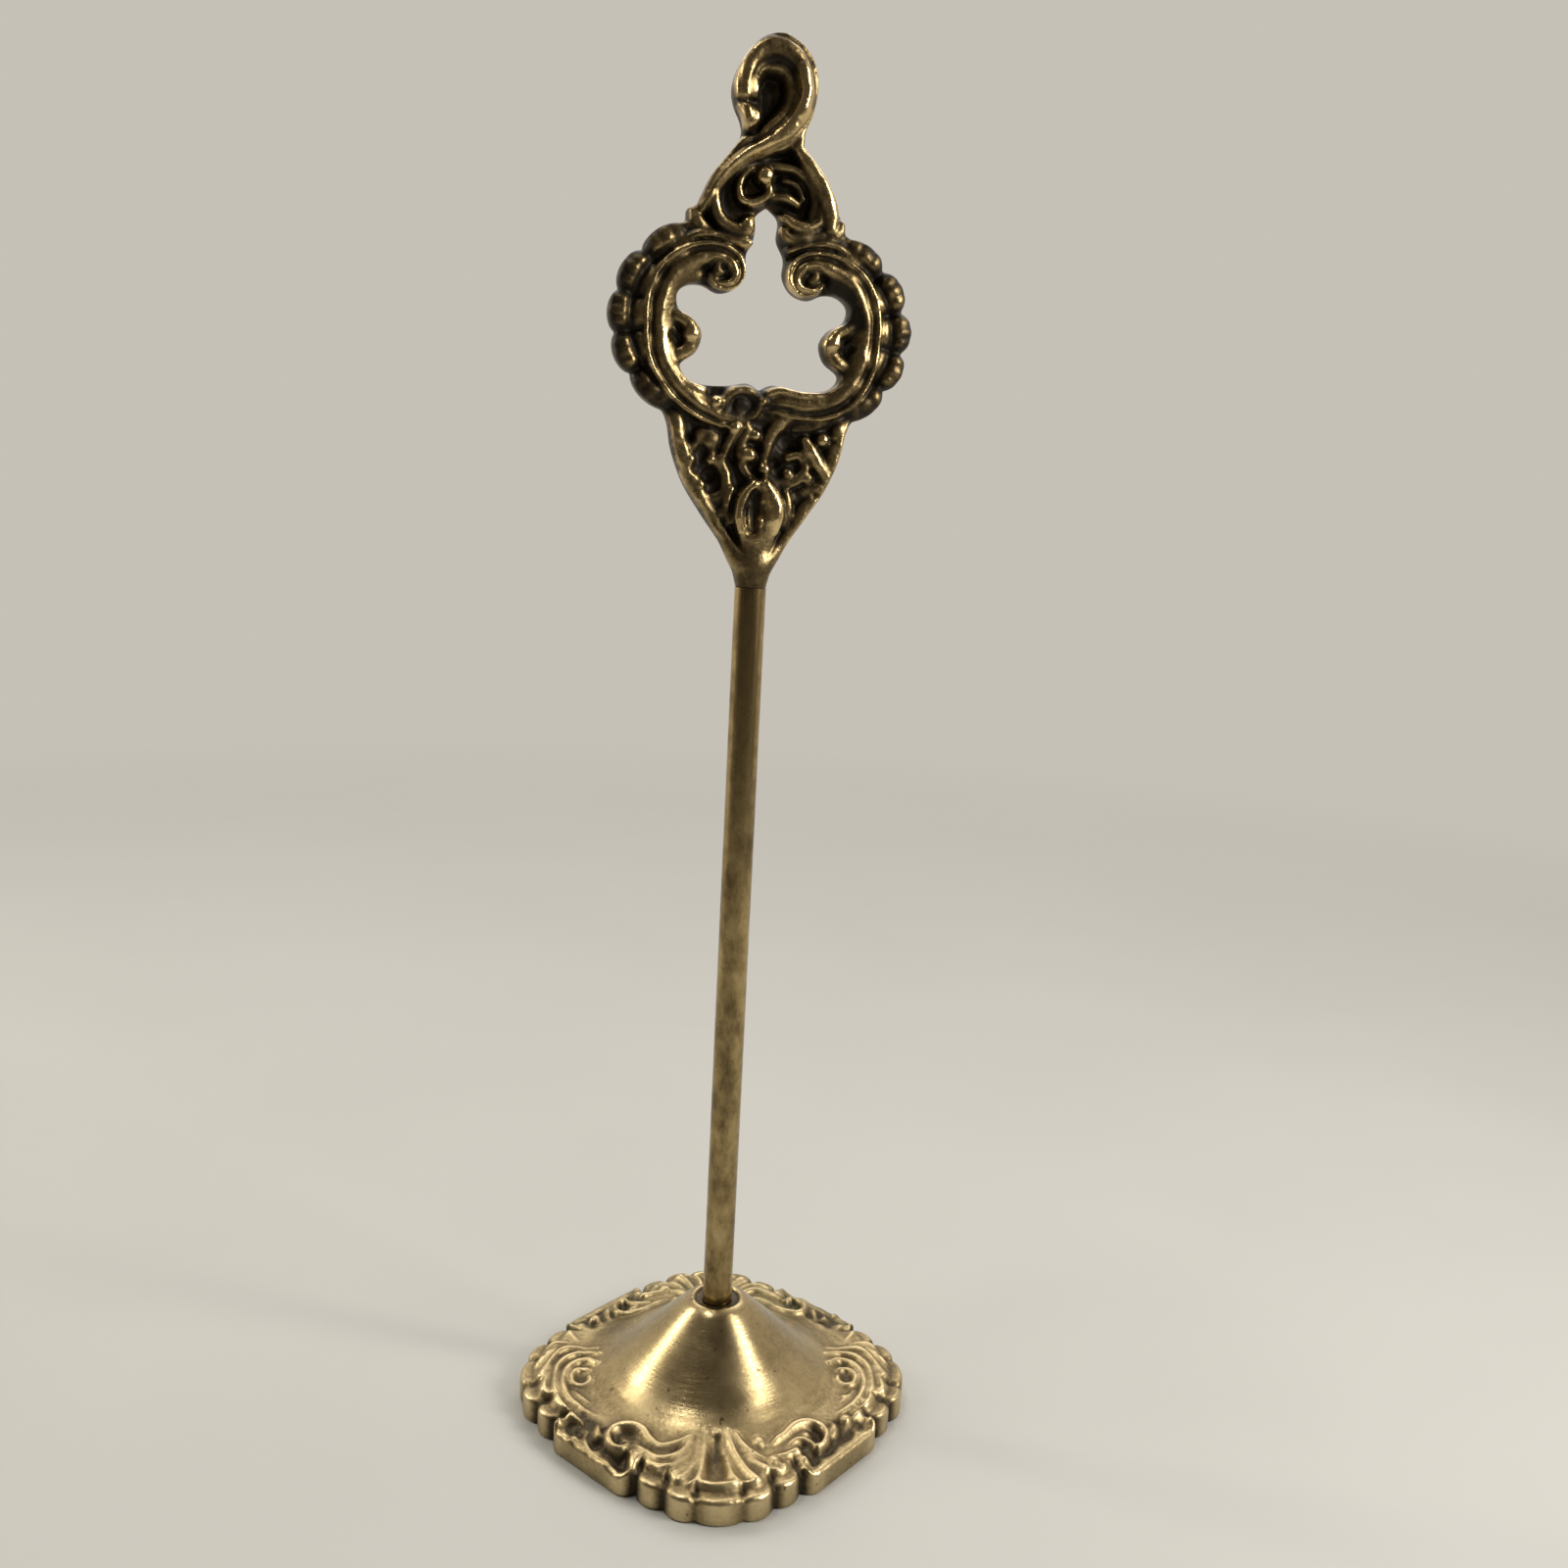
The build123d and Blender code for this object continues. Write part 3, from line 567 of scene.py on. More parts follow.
def head_solid(relief, front, rear, depths):
    """A 3-D grid of numbers, positive inside the casting, less its socket and rivet holes."""
    inside = blurred(relief.inside, 0.6)
    gu, gv = np.gradient(front, HEAD_STEP)
    slope = np.minimum(np.sqrt(1 + gu**2 + gv**2), 2.5)
    holes = np.hypot(np.abs(relief.U) - RIVET_SPREAD, relief.V - RIVET_HEIGHT) - RIVET_HOLE_RADIUS
    slices = []
    for d in depths:
        shell = smooth_min((front + d) / slope, rear - d, 0.8)
        body = smooth_min(shell, inside, 0.7)
        socket = np.hypot(relief.U, d) - SOCKET_RADIUS
        body = np.where(relief.V < SOCKET_TOP, np.minimum(body, socket), body)
        if d > BACK_LEVEL - RIVET_HOLE_DEPTH:
            body = np.minimum(body, holes)
        slices.append(np.minimum(body, relief.V - NECK_BOTTOM))
    return np.stack(slices, 1)


def head_wear_and_shade(relief, front, u, d, v):
    """For each vertex, how rubbed it is (up) or how black (down), with painted shade and painted highlights
    included.
    """
    ridge = 0.85 * (front - blurred(front, 4.2)) / 0.8 + 0.22 * (front - 2.4)
    from_scroll = np.hypot(np.abs(u) - SCROLL[0], v - SCROLL[1])
    # Painted shade in the frills, on top of the finial and on its left side by the slot; a painted highlight
    # on the finial's right flank.
    painted_shade = 0.5 * smooth_step(15.2, 16.6, from_scroll) * smooth_step(248, 245, v)
    painted_shade = painted_shade * smooth_step(212, 216, v) + 0.75 * smooth_step(274.5, 279.0, v + 0.3 * u)
    slot = smooth_step(-1.5, -4.5, u) * smooth_step(264.5, 268.0, v) * smooth_step(276.0, 272.0, v)
    painted_shade = painted_shade + 0.55 * slot
    painted_shade = painted_shade - 0.35 * np.exp(-((u - 4.8) / 1.5) ** 2 - ((v - 271.0) / 5.0) ** 2)
    # Painted shade inside the right scroll's upper hook; a painted highlight on the left scroll's lower inner
    # slope.
    slope_inside = smooth_step(10.6, 9.2, from_scroll) * smooth_step(4.5, 6.0, from_scroll)
    painted_shade = painted_shade + 0.9 * slope_inside * smooth_step(11.0, 13.0, u) * smooth_step(229.5, 231.5, v)
    painted_shade = painted_shade - 0.4 * slope_inside * smooth_step(-10.5, -12.5, u) * smooth_step(229.0, 226.0, v)
    # Painted shade on the volute on the sill; the back is dull and the neck plain.
    painted_shade = painted_shade + 0.5 * smooth_step(4.2, 3.0, np.hypot(u + 3.6, v - 215.0))
    facing = smooth_step(1.2, -0.4, d)
    wear_and_shade = (relief.at(np.clip(ridge, -1.2, 1), u, v) - painted_shade) * facing - 0.4 * (1 - facing)
    plain_neck = smooth_step(190.0, 186.0, v)
    return wear_and_shade * (1 - plain_neck) + 0.1 * plain_neck


def head_piece(material):
    """Front relief, plain back and rounded edges as one closed skin, in the head's own plane."""
    relief = head_relief()
    front, rear = head_skins(relief)
    depths = np.arange(*HEAD_DEPTHS, HEAD_STEP)
    solid = head_solid(relief, front, rear, depths)
    verts, quads = surface_nets(solid, (relief.low[0], depths[0], relief.low[1]), HEAD_STEP)
    u, d, v = verts.T
    place = u[:, None] * ACROSS + d[:, None] * BACK + v[:, None] * UP
    head = new_piece("head_relief", place, quads, material)
    # This attribute holds the rubbed and blackened wear together with painted shade and painted highlights.
    write_attribute(head, "wear_and_shade", head_wear_and_shade(relief, front, u, d, v))
    return head


# ---------------------------------------------------------------- the foot
# Plan of the foot in millimetres, seen from above: u to the right, v to the back.
PLATE = 6.2
FOOT_STEP, FOOT_TURNS = 0.2, 640          # of the height map, and vertices in each ring of the mesh
BORE_RADIUS = 2.6                         # for the rod's lower spigot
RIM_ROUNDING = 1.15
DISH_RADIUS = 5.6                         # where the dish's rim passes into the cone
CONE = [(5.6, 23.95), (6.2, 23.75), (6.8, 23.3), (7.6, 22.6), (9.4, 20.9), (12.4, 18.0), (15.6, 15.0),
        (18.4, 12.5), (21.2, 10.2), (24.2, 8.2), (27.0, 6.9), (29.5, PLATE)]
# The dish and its rim, then the underside: up the hollow cone, down the boss and into the bore.
DISH = [(BORE_RADIUS, SEAT), (3.6, SEAT), (4.3, SEAT + 0.05), (4.8, SEAT + 0.3), (5.1, 23.8), (5.35, 23.98)]
UNDERSIDE = [(26.5, 4.0), (24.6, 4.6), (21.5, 6.3), (18.0, 8.8), (14.6, 11.9), (11.4, 15.2), (8.8, 17.9),
             (7.6, 18.4), (6.5, 18.3), (6.0, 17.9), (6.0, 11.3), (5.8, WASHER_TOP), (2.9, WASHER_TOP),
             (BORE_RADIUS, 11.3), (BORE_RADIUS, 16.0)]
# One half of a corner: the middle lobe's end, then lobes as (high point, notch after it).
LOBE_TIP, FIRST_NOTCH = (0.0, 42.8), (4.9, 41.4)
LOBES = [((8.7, 40.9), (11.0, 37.9)), ((14.7, 36.9), (16.6, 33.5)), ((18.9, 34.0), (21.2, 32.8))]


def arc_through(a, b, c, count):
    """Points on the circle through a, b and c, from a to c."""
    ax, ay, bx, by, cx, cy = *a, *b, *c
    d = 2 * (ax * (by - cy) + bx * (cy - ay) + cx * (ay - by))
    ux = ((ax**2 + ay**2) * (by - cy) + (bx**2 + by**2) * (cy - ay) + (cx**2 + cy**2) * (ay - by)) / d
    uy = ((ax**2 + ay**2) * (cx - bx) + (bx**2 + by**2) * (ax - cx) + (cx**2 + cy**2) * (bx - ax)) / d
    angles = np.unwrap([atan2(p[1] - uy, p[0] - ux) for p in (a, b, c)])
    radius = np.hypot(ax - ux, ay - uy)
    turn = np.linspace(angles[0], angles[2], count)
    return [(ux + radius * cos(t), uy + radius * sin(t)) for t in turn]


def foot_outline():
    """Radius of the foot's outline for each of its angles, over a full turn."""
    half = arc_through((-FIRST_NOTCH[0], FIRST_NOTCH[1]), LOBE_TIP, FIRST_NOTCH, 21)[10:]
    start = FIRST_NOTCH
    for crest, notch in LOBES:
        half += arc_through(start, crest, notch, 12)[1:]
        start = notch
    end = (start[1], start[0])
    for t in np.linspace(0, 0.5, 14)[1:]:
        half.append((start[0] + (end[0] - start[0]) * t, start[1] + (end[1] - start[1]) * t))
    eighth = sorted((atan2(x, y), np.hypot(x, y)) for x, y in half)
    angles, radii = np.array(eighth).T
    quarter_angles = np.concatenate([-angles[::-1], angles[1:]])
    quarter_radii = np.concatenate([radii[::-1], radii[1:]])
    turns = np.arange(-2, 3) * pi / 2
    return (quarter_angles[None, :] + turns[:, None]).ravel(), np.tile(quarter_radii, 5)


OUTLINE = foot_outline()


def foot_radius(angle):
    """Radius of the foot's outline at any angles."""
    wrapped = (np.asarray(angle) + pi) % (2 * pi) - pi
    return np.interp(wrapped, *OUTLINE)


def front_corner(relief):
    """Fan of ribs in the middle of the front corner, with a volute and a pocket on each side."""
    left = [
        [(-3.4, -25.4, 0.5, 0.5), (-5.6, -25.6, 0.8, 1.0), (-8.6, -26.8, 1.0, 1.2),
         (-11.8, -27.2, 1.1, 1.3), (-14.0, -25.4, 1.1, 1.4), (-15.6, -22.8, 1.2, 1.5),
         (-18.0, -21.2, 1.2, 1.6), (-20.6, -21.0, 1.2, 1.7), (-22.4, -22.6, 1.2, 1.7),
         (-22.5, -25.0, 1.1, 1.7), (-21.4, -27.0, 1.0, 1.6), (-19.8, -27.7, 0.9, 1.6),
         (-18.2, -26.6, 0.8, 1.4)],
        [(-5.4, -26.2, 0.8, 1.1), (-7.2, -28.9, 1.0, 1.5), (-9.8, -30.9, 1.1, 1.6),
         (-12.6, -30.9, 1.1, 1.5), (-15.0, -29.0, 1.1, 1.4), (-17.0, -27.2, 0.9, 1.4)],
        [(-5.0, -27.4, 0.7, 0.9), (-6.8, -30.9, 0.9, 1.2), (-9.6, -33.2, 1.0, 1.4),
         (-12.8, -33.1, 1.1, 1.3), (-15.4, -31.0, 1.1, 1.3), (-17.6, -28.6, 1.0, 1.3)],
        [(-4.6, -28.6, 0.6, 0.7), (-6.2, -32.6, 0.8, 1.0), (-9.4, -35.4, 1.0, 1.1),
         (-13.2, -35.0, 1.1, 1.0), (-16.0, -32.8, 1.1, 1.0), (-18.0, -30.2, 1.0, 1.0)],
        [(-3.9, -26.0, 0.6, 0.8), (-4.3, -30.0, 0.8, 1.1), (-5.4, -33.6, 0.9, 1.2), (-7.8, -36.6, 1.0, 1.1),
         (-11.2, -37.6, 1.0, 0.9), (-14.0, -36.6, 0.8, 0.6)],
        [(-2.4, -25.0, 0.6, 0.7), (-2.9, -29.0, 0.7, 1.0), (-3.4, -33.0, 0.8, 1.1), (-4.4, -37.4, 1.0, 1.2)],
        [(-25.0, -19.6, 0.7, 0.6), (-24.8, -21.6, 0.9, 1.0), (-24.4, -23.8, 0.7, 0.7)],
        [(-27.2, -20.6, 0.7, 0.5), (-27.4, -23.0, 0.8, 0.8), (-26.4, -25.6, 0.6, 0.5)],
        [(-25.4, -28.4, 0.6, 0.3), (-23.8, -29.6, 0.8, 0.7), (-21.4, -31.2, 0.7, 0.5)],
    ]
    right = [
        [(1.9, -24.8, 0.7, 0.9), (2.9, -28.0, 0.9, 1.3), (4.1, -31.4, 0.9, 1.4), (5.4, -34.6, 1.0, 1.4),
         (7.2, -37.2, 1.1, 1.4), (9.2, -39.0, 1.0, 1.0)],
        [(1.3, -30.0, 0.5, 0.6), (1.9, -33.6, 0.7, 1.0), (2.6, -36.2, 0.8, 1.1), (4.2, -38.4, 0.9, 1.1)],
        [(3.6, -25.2, 0.7, 0.9), (5.2, -27.8, 0.9, 1.5), (7.2, -30.0, 1.0, 1.6), (9.2, -31.0, 0.7, 1.0)],
        [(4.8, -28.0, 0.6, 0.7), (6.0, -30.8, 0.8, 1.2), (8.2, -33.2, 1.0, 1.4), (10.6, -34.6, 1.0, 1.2),
         (13.4, -34.4, 0.9, 0.8)],
        [(10.6, -27.6, 0.6, 0.7), (12.4, -25.6, 0.9, 1.2), (14.2, -24.0, 0.9, 1.2), (16.0, -22.0, 1.0, 1.3),
         (18.2, -20.6, 1.1, 1.5), (20.6, -20.4, 1.1, 1.6), (22.4, -21.6, 1.1, 1.7), (22.9, -24.0, 1.0, 1.7),
         (22.2, -26.2, 0.9, 1.5), (20.6, -27.2, 0.8, 1.3)],
        [(14.8, -26.4, 0.7, 0.8), (16.8, -25.2, 0.9, 1.2), (18.8, -25.6, 0.9, 1.2), (20.2, -26.8, 0.7, 1.0)],
        [(11.6, -30.6, 1.0, 1.1), (14.0, -29.9, 0.9, 1.1), (16.2, -28.8, 0.9, 1.5)],
        [(24.3, -19.2, 0.7, 0.8), (24.6, -21.6, 1.1, 1.6), (24.4, -24.0, 0.7, 0.9)],
        [(19.0, -32.2, 0.7, 0.5), (18.0, -30.6, 0.9, 0.8), (18.6, -29.2, 0.6, 0.4)],
    ]
    for line in left + right:
        relief.stroke(line, foot=-0.15, soft=0.2)
    for knob in [(8.5, -26.6, 1.5, 1.0), (11.1, -31.8, 1.7, 1.3), (16.3, -28.7, 1.0, 1.2),
                 (27.4, -18.6, 1.6, 1.6), (13.2, -33.2, 0.8, 0.9), (16.2, -34.4, 0.9, 0.8),
                 (29.6, -21.0, 0.9, 0.6), (0.1, -25.0, 0.8, 0.5), (-19.6, -24.6, 1.2, 0.7),
                 (18.6, -23.6, 1.2, 0.7), (-29.6, -22.4, 1.0, 0.7)]:
        relief.knob(*knob, foot=0.0)
    # The dark flute down the middle, the eyes of the volutes and the floor between the ribs.
    relief.stroke([(-0.3, -26.4, 0.9, -0.7), (-0.4, -30.0, 1.6, -1.5), (-0.5, -34.0, 2.1, -1.8),
                   (-0.6, -37.0, 2.1, -1.0)], add=True)
    relief.hollow(-18.6, -23.6, 2.1, 0.7)
    relief.hollow(20.3, -22.4, 1.5, 0.8)
    relief.hollow(-20.0, -30.6, 2.2, 0.9)
    relief.hollow(19.4, -29.2, 1.6, 0.8)
    # The scalloped line that ends the fan, just inside the lobes.
    relief.stroke([(-15.6, -35.6, 0.7, 0.6), (-12.8, -38.2, 0.9, 0.9), (-10.4, -38.2, 0.9, 0.8),
                   (-7.4, -39.2, 1.0, 0.9), (-4.6, -38.2, 1.2, 1.2), (-1.6, -39.2, 1.4, 1.3),
                   (1.2, -38.9, 1.3, 1.3), (4.2, -38.6, 1.2, 1.3), (7.2, -38.8, 1.4, 1.2),
                   (10.2, -38.2, 0.9, 0.8), (12.6, -38.0, 1.0, 0.9), (14.6, -36.0, 0.9, 0.7)], foot=-0.2)


def side_corner(relief):
    """The C-scroll at the left and right corners, with its ribs running out to the lobes."""
    for line in [
        [(-28.2, -1.6, 0.7, 1.1), (-30.2, -1.5, 0.8, 1.4), (-31.4, -3.6, 0.9, 1.5), (-30.8, -6.2, 0.8, 1.3),
         (-28.9, -7.0, 0.8, 1.2), (-27.4, -5.8, 0.7, 1.1), (-27.6, -4.2, 0.7, 1.1)],
        [(-26.2, 0.0, 0.8, 1.0), (-28.4, 1.9, 1.0, 1.4), (-31.0, 1.0, 1.1, 1.6), (-32.9, -2.4, 1.1, 1.7),
         (-33.0, -7.0, 1.1, 1.6), (-31.6, -11.0, 1.0, 1.4), (-29.4, -13.8, 0.9, 1.1),
         (-26.8, -16.0, 0.7, 0.6)],
        [(-30.6, -8.6, 0.6, 0.7), (-29.4, -10.6, 0.8, 1.0), (-27.4, -12.6, 0.7, 0.7)],
        [(-25.8, 3.6, 0.7, 0.8), (-29.0, 4.7, 0.9, 1.3), (-32.4, 3.6, 1.0, 1.5), (-34.6, 0.2, 1.0, 1.5),
         (-35.0, -5.4, 1.0, 1.5), (-34.0, -11.0, 1.0, 1.4), (-31.4, -15.6, 0.9, 1.2),
         (-28.4, -18.6, 0.7, 0.7)],
        [(-26.4, 6.4, 0.6, 0.6), (-30.4, 7.0, 0.8, 1.0), (-33.6, 6.4, 1.0, 1.5), (-35.6, 4.4, 0.8, 1.2),
         (-37.0, 0.6, 0.9, 1.2), (-38.4, -4.0, 1.1, 1.1)],
        [(-36.2, 0.4, 0.6, 0.8), (-36.9, -4.4, 0.9, 1.2), (-37.2, -9.4, 1.0, 1.2), (-36.6, -12.4, 0.9, 0.9)],
        [(-36.0, -8.0, 0.6, 0.7), (-35.6, -12.6, 0.9, 1.1), (-34.2, -16.4, 1.0, 1.1),
         (-32.6, -18.6, 0.8, 0.7)],
        [(-35.4, 7.4, 0.7, 0.8), (-37.6, 4.6, 1.0, 1.1), (-39.2, 1.6, 1.1, 1.0)],
        [(-33.4, 9.4, 0.7, 0.7), (-35.8, 9.2, 1.0, 1.0), (-37.4, 8.2, 1.0, 0.8)],
        [(-31.2, 10.6, 0.6, 0.5), (-32.8, 12.8, 0.9, 0.9), (-33.6, 15.2, 0.9, 0.7)],
    ]:
        relief.stroke(line, foot=-0.1, soft=0.2, sides=BOTH_SIDES)
    relief.hollow(-29.2, -4.2, 1.2, 0.3, sides=BOTH_SIDES)
    for knob in [(28.0, -11.0, 1.0, 0.9), (32.2, -12.6, 1.1, 1.0), (33.8, -16.4, 1.2, 1.0),
                 (36.2, -12.0, 1.1, 0.9), (30.2, -14.6, 0.8, 0.8), (38.2, -7.4, 1.1, 0.8)]:
        relief.knob(*knob, foot=0.0)


def foot_relief():
    """Height of the foot's top above the table, on a plan grid."""
    relief = Relief((-45, -45), (45, 45), FOOT_STEP, ground=0.0)
    # The back corner is the front corner turned half round.
    front_corner(relief)
    behind = smooth_step(0.0, 4.0, relief.V)
    relief.height = relief.height * (1 - behind) + relief.height[::-1, ::-1] * behind
    side_corner(relief)
    relief.height *= 0.85
    ring = np.hypot(relief.U, relief.V)
    turn = np.arctan2(relief.V, relief.U)
    # Pockets inside the straight sides, rough as cast; a lip stays between them and the edge.
    along = (np.abs(relief.U) + np.abs(relief.V)) / 2**0.5
    beside = np.abs(np.abs(relief.U) - np.abs(relief.V)) / 2**0.5
    pocket = smooth_step(30.0, 32.0, along) * smooth_step(36.4, 35.3, along) * smooth_step(9.4, 7.8, beside)
    rough = blurred(np.random.RandomState(11).normal(size=ring.shape), 2.2)
    rough /= rough.std()
    raised = smooth_step(0.15, 0.6, relief.height)
    relief.height -= 1.35 * smooth_step(33.6, 36.2, along) * smooth_step(11.2, 9.6, beside)
    relief.height += pocket * (0.24 * rough * (1 - raised) - 0.7 * (1 - 0.7 * raised))
    relief.pocket = pocket
    # Lobes stand a step lower than the fan behind them, and grooves part them.
    within = foot_radius(turn) - ring
    corner_turn = np.abs((turn + pi / 4) % (pi / 2) - pi / 4)
    lobed = smooth_step(radians(28.5), radians(26.0), corner_turn)
    rim = smooth_step(3.4, 2.2, within) * lobed
    relief.height = relief.height * (1 - rim) - 0.75 * rim
    relief.height -= 0.3 * np.exp(-((within - 2.9) / 0.5) ** 2) * lobed
    for notch in [FIRST_NOTCH] + [notch for _, notch in LOBES[:2]]:
        apart = (corner_turn - atan2(*notch)) * ring
        relief.height -= 0.9 * np.exp(-(apart / 0.55) ** 2) * smooth_step(4.6, 2.4, within)
    relief.height += blurred(np.interp(ring, *zip(*CONE)), 1.5) + 0.035 * rough * smooth_step(27, 31, ring)
    return relief


def smoothed_turn(radii, count):
    """Radii of a full turn, each the mean of count neighbours."""
    return np.convolve(np.tile(radii, 3), np.ones(count) / count, "same")[len(radii):2 * len(radii)]


def foot_rings(relief, surface, angle, edge, smooth_edge):
    """The foot as (radius, height) rings: from the seat over the top, round the edge and back underneath.
    Gives the number of the first ring of the underside too."""
    rings = list(DISH)
    for t in np.concatenate([np.linspace(0, 0.5, 26)[:-1], np.linspace(0.5, 1, 78)]):
        radius = DISH_RADIUS + (smooth_edge - RIM_ROUNDING - DISH_RADIUS) * t
        rings.append((radius, relief.at(surface, radius * np.cos(angle), radius * np.sin(angle))))
    top = rings[-1][1]
    for a in map(radians, (18, 38, 58, 76)):
        rings.append((smooth_edge - RIM_ROUNDING * (1 - sin(a)), top - RIM_ROUNDING * (1 - cos(a))))
    for share in (0.0, 0.34, 0.68, 1.0):
        rings.append((edge, (top - RIM_ROUNDING) * (1 - share) + 0.5 * share))
    inner = edge - 2.3
    rings += [(edge - 0.15, 0.14), (edge - 0.5, 0.0), (inner + 0.4, 0.0)]
    first_under = len(rings)
    rings += [(inner, 0.4), (inner - 0.1, 2.6), (inner - 0.9, 3.8)]
    rings += [((inner - 1.4) * (1 - t) + UNDERSIDE[0][0] * t, UNDERSIDE[0][1]) for t in (0.25, 0.5, 0.75)]
    return rings + UNDERSIDE, first_under


def foot_piece(material):
    """The foot's closed skin, worn on the ridges, dull in the pockets, with painted shade in the dish, and
    dark underneath.
    """
    relief = foot_relief()
    surface = blurred(relief.height, 1.5)
    angle = np.linspace(0, 2 * pi, FOOT_TURNS, endpoint=False)
    edge = foot_radius(angle)
    smooth_edge = smoothed_turn(edge, 3)
    rings, first_under = foot_rings(relief, surface, angle, edge, smooth_edge)
    around = [np.broadcast_arrays(r * np.cos(angle), r * np.sin(angle), z) for r, z in rings]
    verts = np.concatenate([np.stack(ring, 1) for ring in around])
    foot = new_piece("foot_relief", verts, ring_faces(len(rings), FOOT_TURNS, closed=True), material)
    x, y, z = verts.T
    ridge = np.clip((surface - blurred(surface, 6.0)) / 0.7, -1, 1)
    wear_and_shade = relief.at(ridge - 0.55 * relief.pocket, x, y)
    reach = np.hypot(x, y)
    off_cone = smooth_step(23.0, 27.0, reach)
    wear_and_shade = np.where(reach < 27, wear_and_shade * off_cone + 0.25 * (1 - off_cone), wear_and_shade)
    # Painted shade in the dish that the rod stands in.
    wear_and_shade = np.where((reach < 5.0) & (z > 20), -0.8, wear_and_shade)
    # The wall is darker in the notches than on the lobes.
    wall = np.tile(edge, len(rings)) - reach < RIM_ROUNDING
    lobe = np.tile(smooth_edge - smoothed_turn(smooth_edge, 25), len(rings))
    wear_and_shade = np.where(wall, np.clip(0.3 + lobe * 1.6, -0.9, 0.8), wear_and_shade)
    under = np.repeat(np.arange(len(rings)), FOOT_TURNS) >= first_under
    write_attribute(foot, "wear_and_shade", np.where(under, -0.55, wear_and_shade))
    write_attribute(foot, "under", under.astype(float))
    return foot


def ring_faces(rings, count, closed=False):
    """Quads between rings of count vertices each; closed joins the last ring to the first."""
    faces = []
    for i in range(rings if closed else rings - 1):
        a, b = i * count, ((i + 1) % rings) * count
        for j in range(count):
            k = (j + 1) % count
            faces.append((a + j, b + j, b + k, a + k))
    return faces


# ---------------------------------------------------------------- turned and bent pieces
SHARP_CORNER = radians(38)
AXIS_GAP = 0.02                           # radius that stands for the axis in a turned profile
THREAD_PITCH, THREAD_DEPTH, THREAD_TOP = 0.8, 0.46, 13.0


def lathe(name, profile, material, turns, centre=(0, 0, 0), axis=UP, twist=None):
    """Turns a closed profile of (radius, height) pairs round an axis. twist may change the radius."""
    axis, centre = np.array(axis, float), np.array(centre, float)
    side = np.cross(axis, (1, 0, 0) if abs(axis[0]) < 0.8 else (0, 1, 0))
    side /= np.linalg.norm(side)
    other = np.cross(axis, side)
    angle = np.linspace(0, 2 * pi, turns, endpoint=False)
    around = np.cos(angle)[:, None] * side + np.sin(angle)[:, None] * other
    verts = []
    for r, z in profile:
        radius = twist(r, z, angle) if twist else np.full(turns, float(r))
        verts.append(centre + radius[:, None] * around + z * axis)
    piece = new_piece(name, np.concatenate(verts), ring_faces(len(profile), turns, closed=True), material)
    piece.data.set_sharp_from_angle(angle=SHARP_CORNER)
    return piece


def chamfered(inner, outer, bottom, top, chamfer):
    """A ring's rectangular section with its four corners cut, as (radius, height) pairs."""
    return [(inner + chamfer, bottom), (outer - chamfer, bottom), (outer, bottom + chamfer),
            (outer, top - chamfer), (outer - chamfer, top), (inner + chamfer, top), (inner, top - chamfer),
            (inner, bottom + chamfer)]


def rod_piece(material):
    """The rod with its spigots; the lower one carries a real thread."""
    def threaded(r, z, angle):
        if r < 1.0 or z > THREAD_TOP:
            return np.full(angle.shape, float(r))
        phase = (z / THREAD_PITCH - angle / (2 * pi)) % 1.0
        depth = THREAD_DEPTH * np.abs(2 * phase - 1) ** 0.9
        run_out = smooth_step(THREAD_TOP, THREAD_TOP - 0.6, z)
        return float(r) - depth * run_out * smooth_step(ROD_BOTTOM - 0.1, ROD_BOTTOM + 0.5, z)

    profile = [(AXIS_GAP, ROD_BOTTOM), (1.9, ROD_BOTTOM)]
    profile += [(SPIGOT_RADIUS, z) for z in np.arange(ROD_BOTTOM + 0.35, THREAD_TOP, 0.1)]
    profile += [(SPIGOT_RADIUS, THREAD_TOP + 0.2), (SPIGOT_RADIUS, SEAT - 0.01)]
    profile += [(2.9, SEAT), (ROD_RADIUS, SEAT + 0.25)]
    profile += [(ROD_RADIUS, z) for z in np.linspace(SEAT + 1, NECK_BOTTOM - 0.3, 60)]
    profile += [(ROD_RADIUS, NECK_BOTTOM), (2.42, NECK_BOTTOM), (SPIGOT_RADIUS, NECK_BOTTOM + 0.1)]
    profile += [(SPIGOT_RADIUS, ROD_TOP - 0.4), (2.0, ROD_TOP), (AXIS_GAP, ROD_TOP)]
    return lathe("rod_threaded", profile, material, turns=48, twist=threaded)


def washer_piece(material):
    """The plain washer between the boss and the split washer."""
    section = chamfered(2.62, 5.0, WASHER_BOTTOM, WASHER_TOP, 0.14)
    return lathe("flat_washer", section, material, turns=72)


def spring_washer_piece(material):
    """A split ring of square section; its ends are skewed a little at the slit."""
    section = chamfered(2.66, 4.4, NUT_TOP, WASHER_BOTTOM, 0.16)
    steps, slit = 60, 0.42 / 3.5
    verts = []
    for t in np.linspace(slit, 2 * pi - slit, steps):
        skew = 0.16 * (t / pi - 1)
        for r, z in section:
            turn = t + skew * 0.3 * (z - NUT_TOP)
            verts.append((r * cos(turn), r * sin(turn), z))
    corners = len(section)
    first_end, last_end = range(corners), range((steps - 1) * corners, steps * corners)
    faces = ring_faces(steps, corners) + [tuple(first_end), tuple(last_end)[::-1]]
    piece = new_piece("split_washer", verts, faces, material)
    piece.data.set_sharp_from_angle(angle=SHARP_CORNER)
    return piece


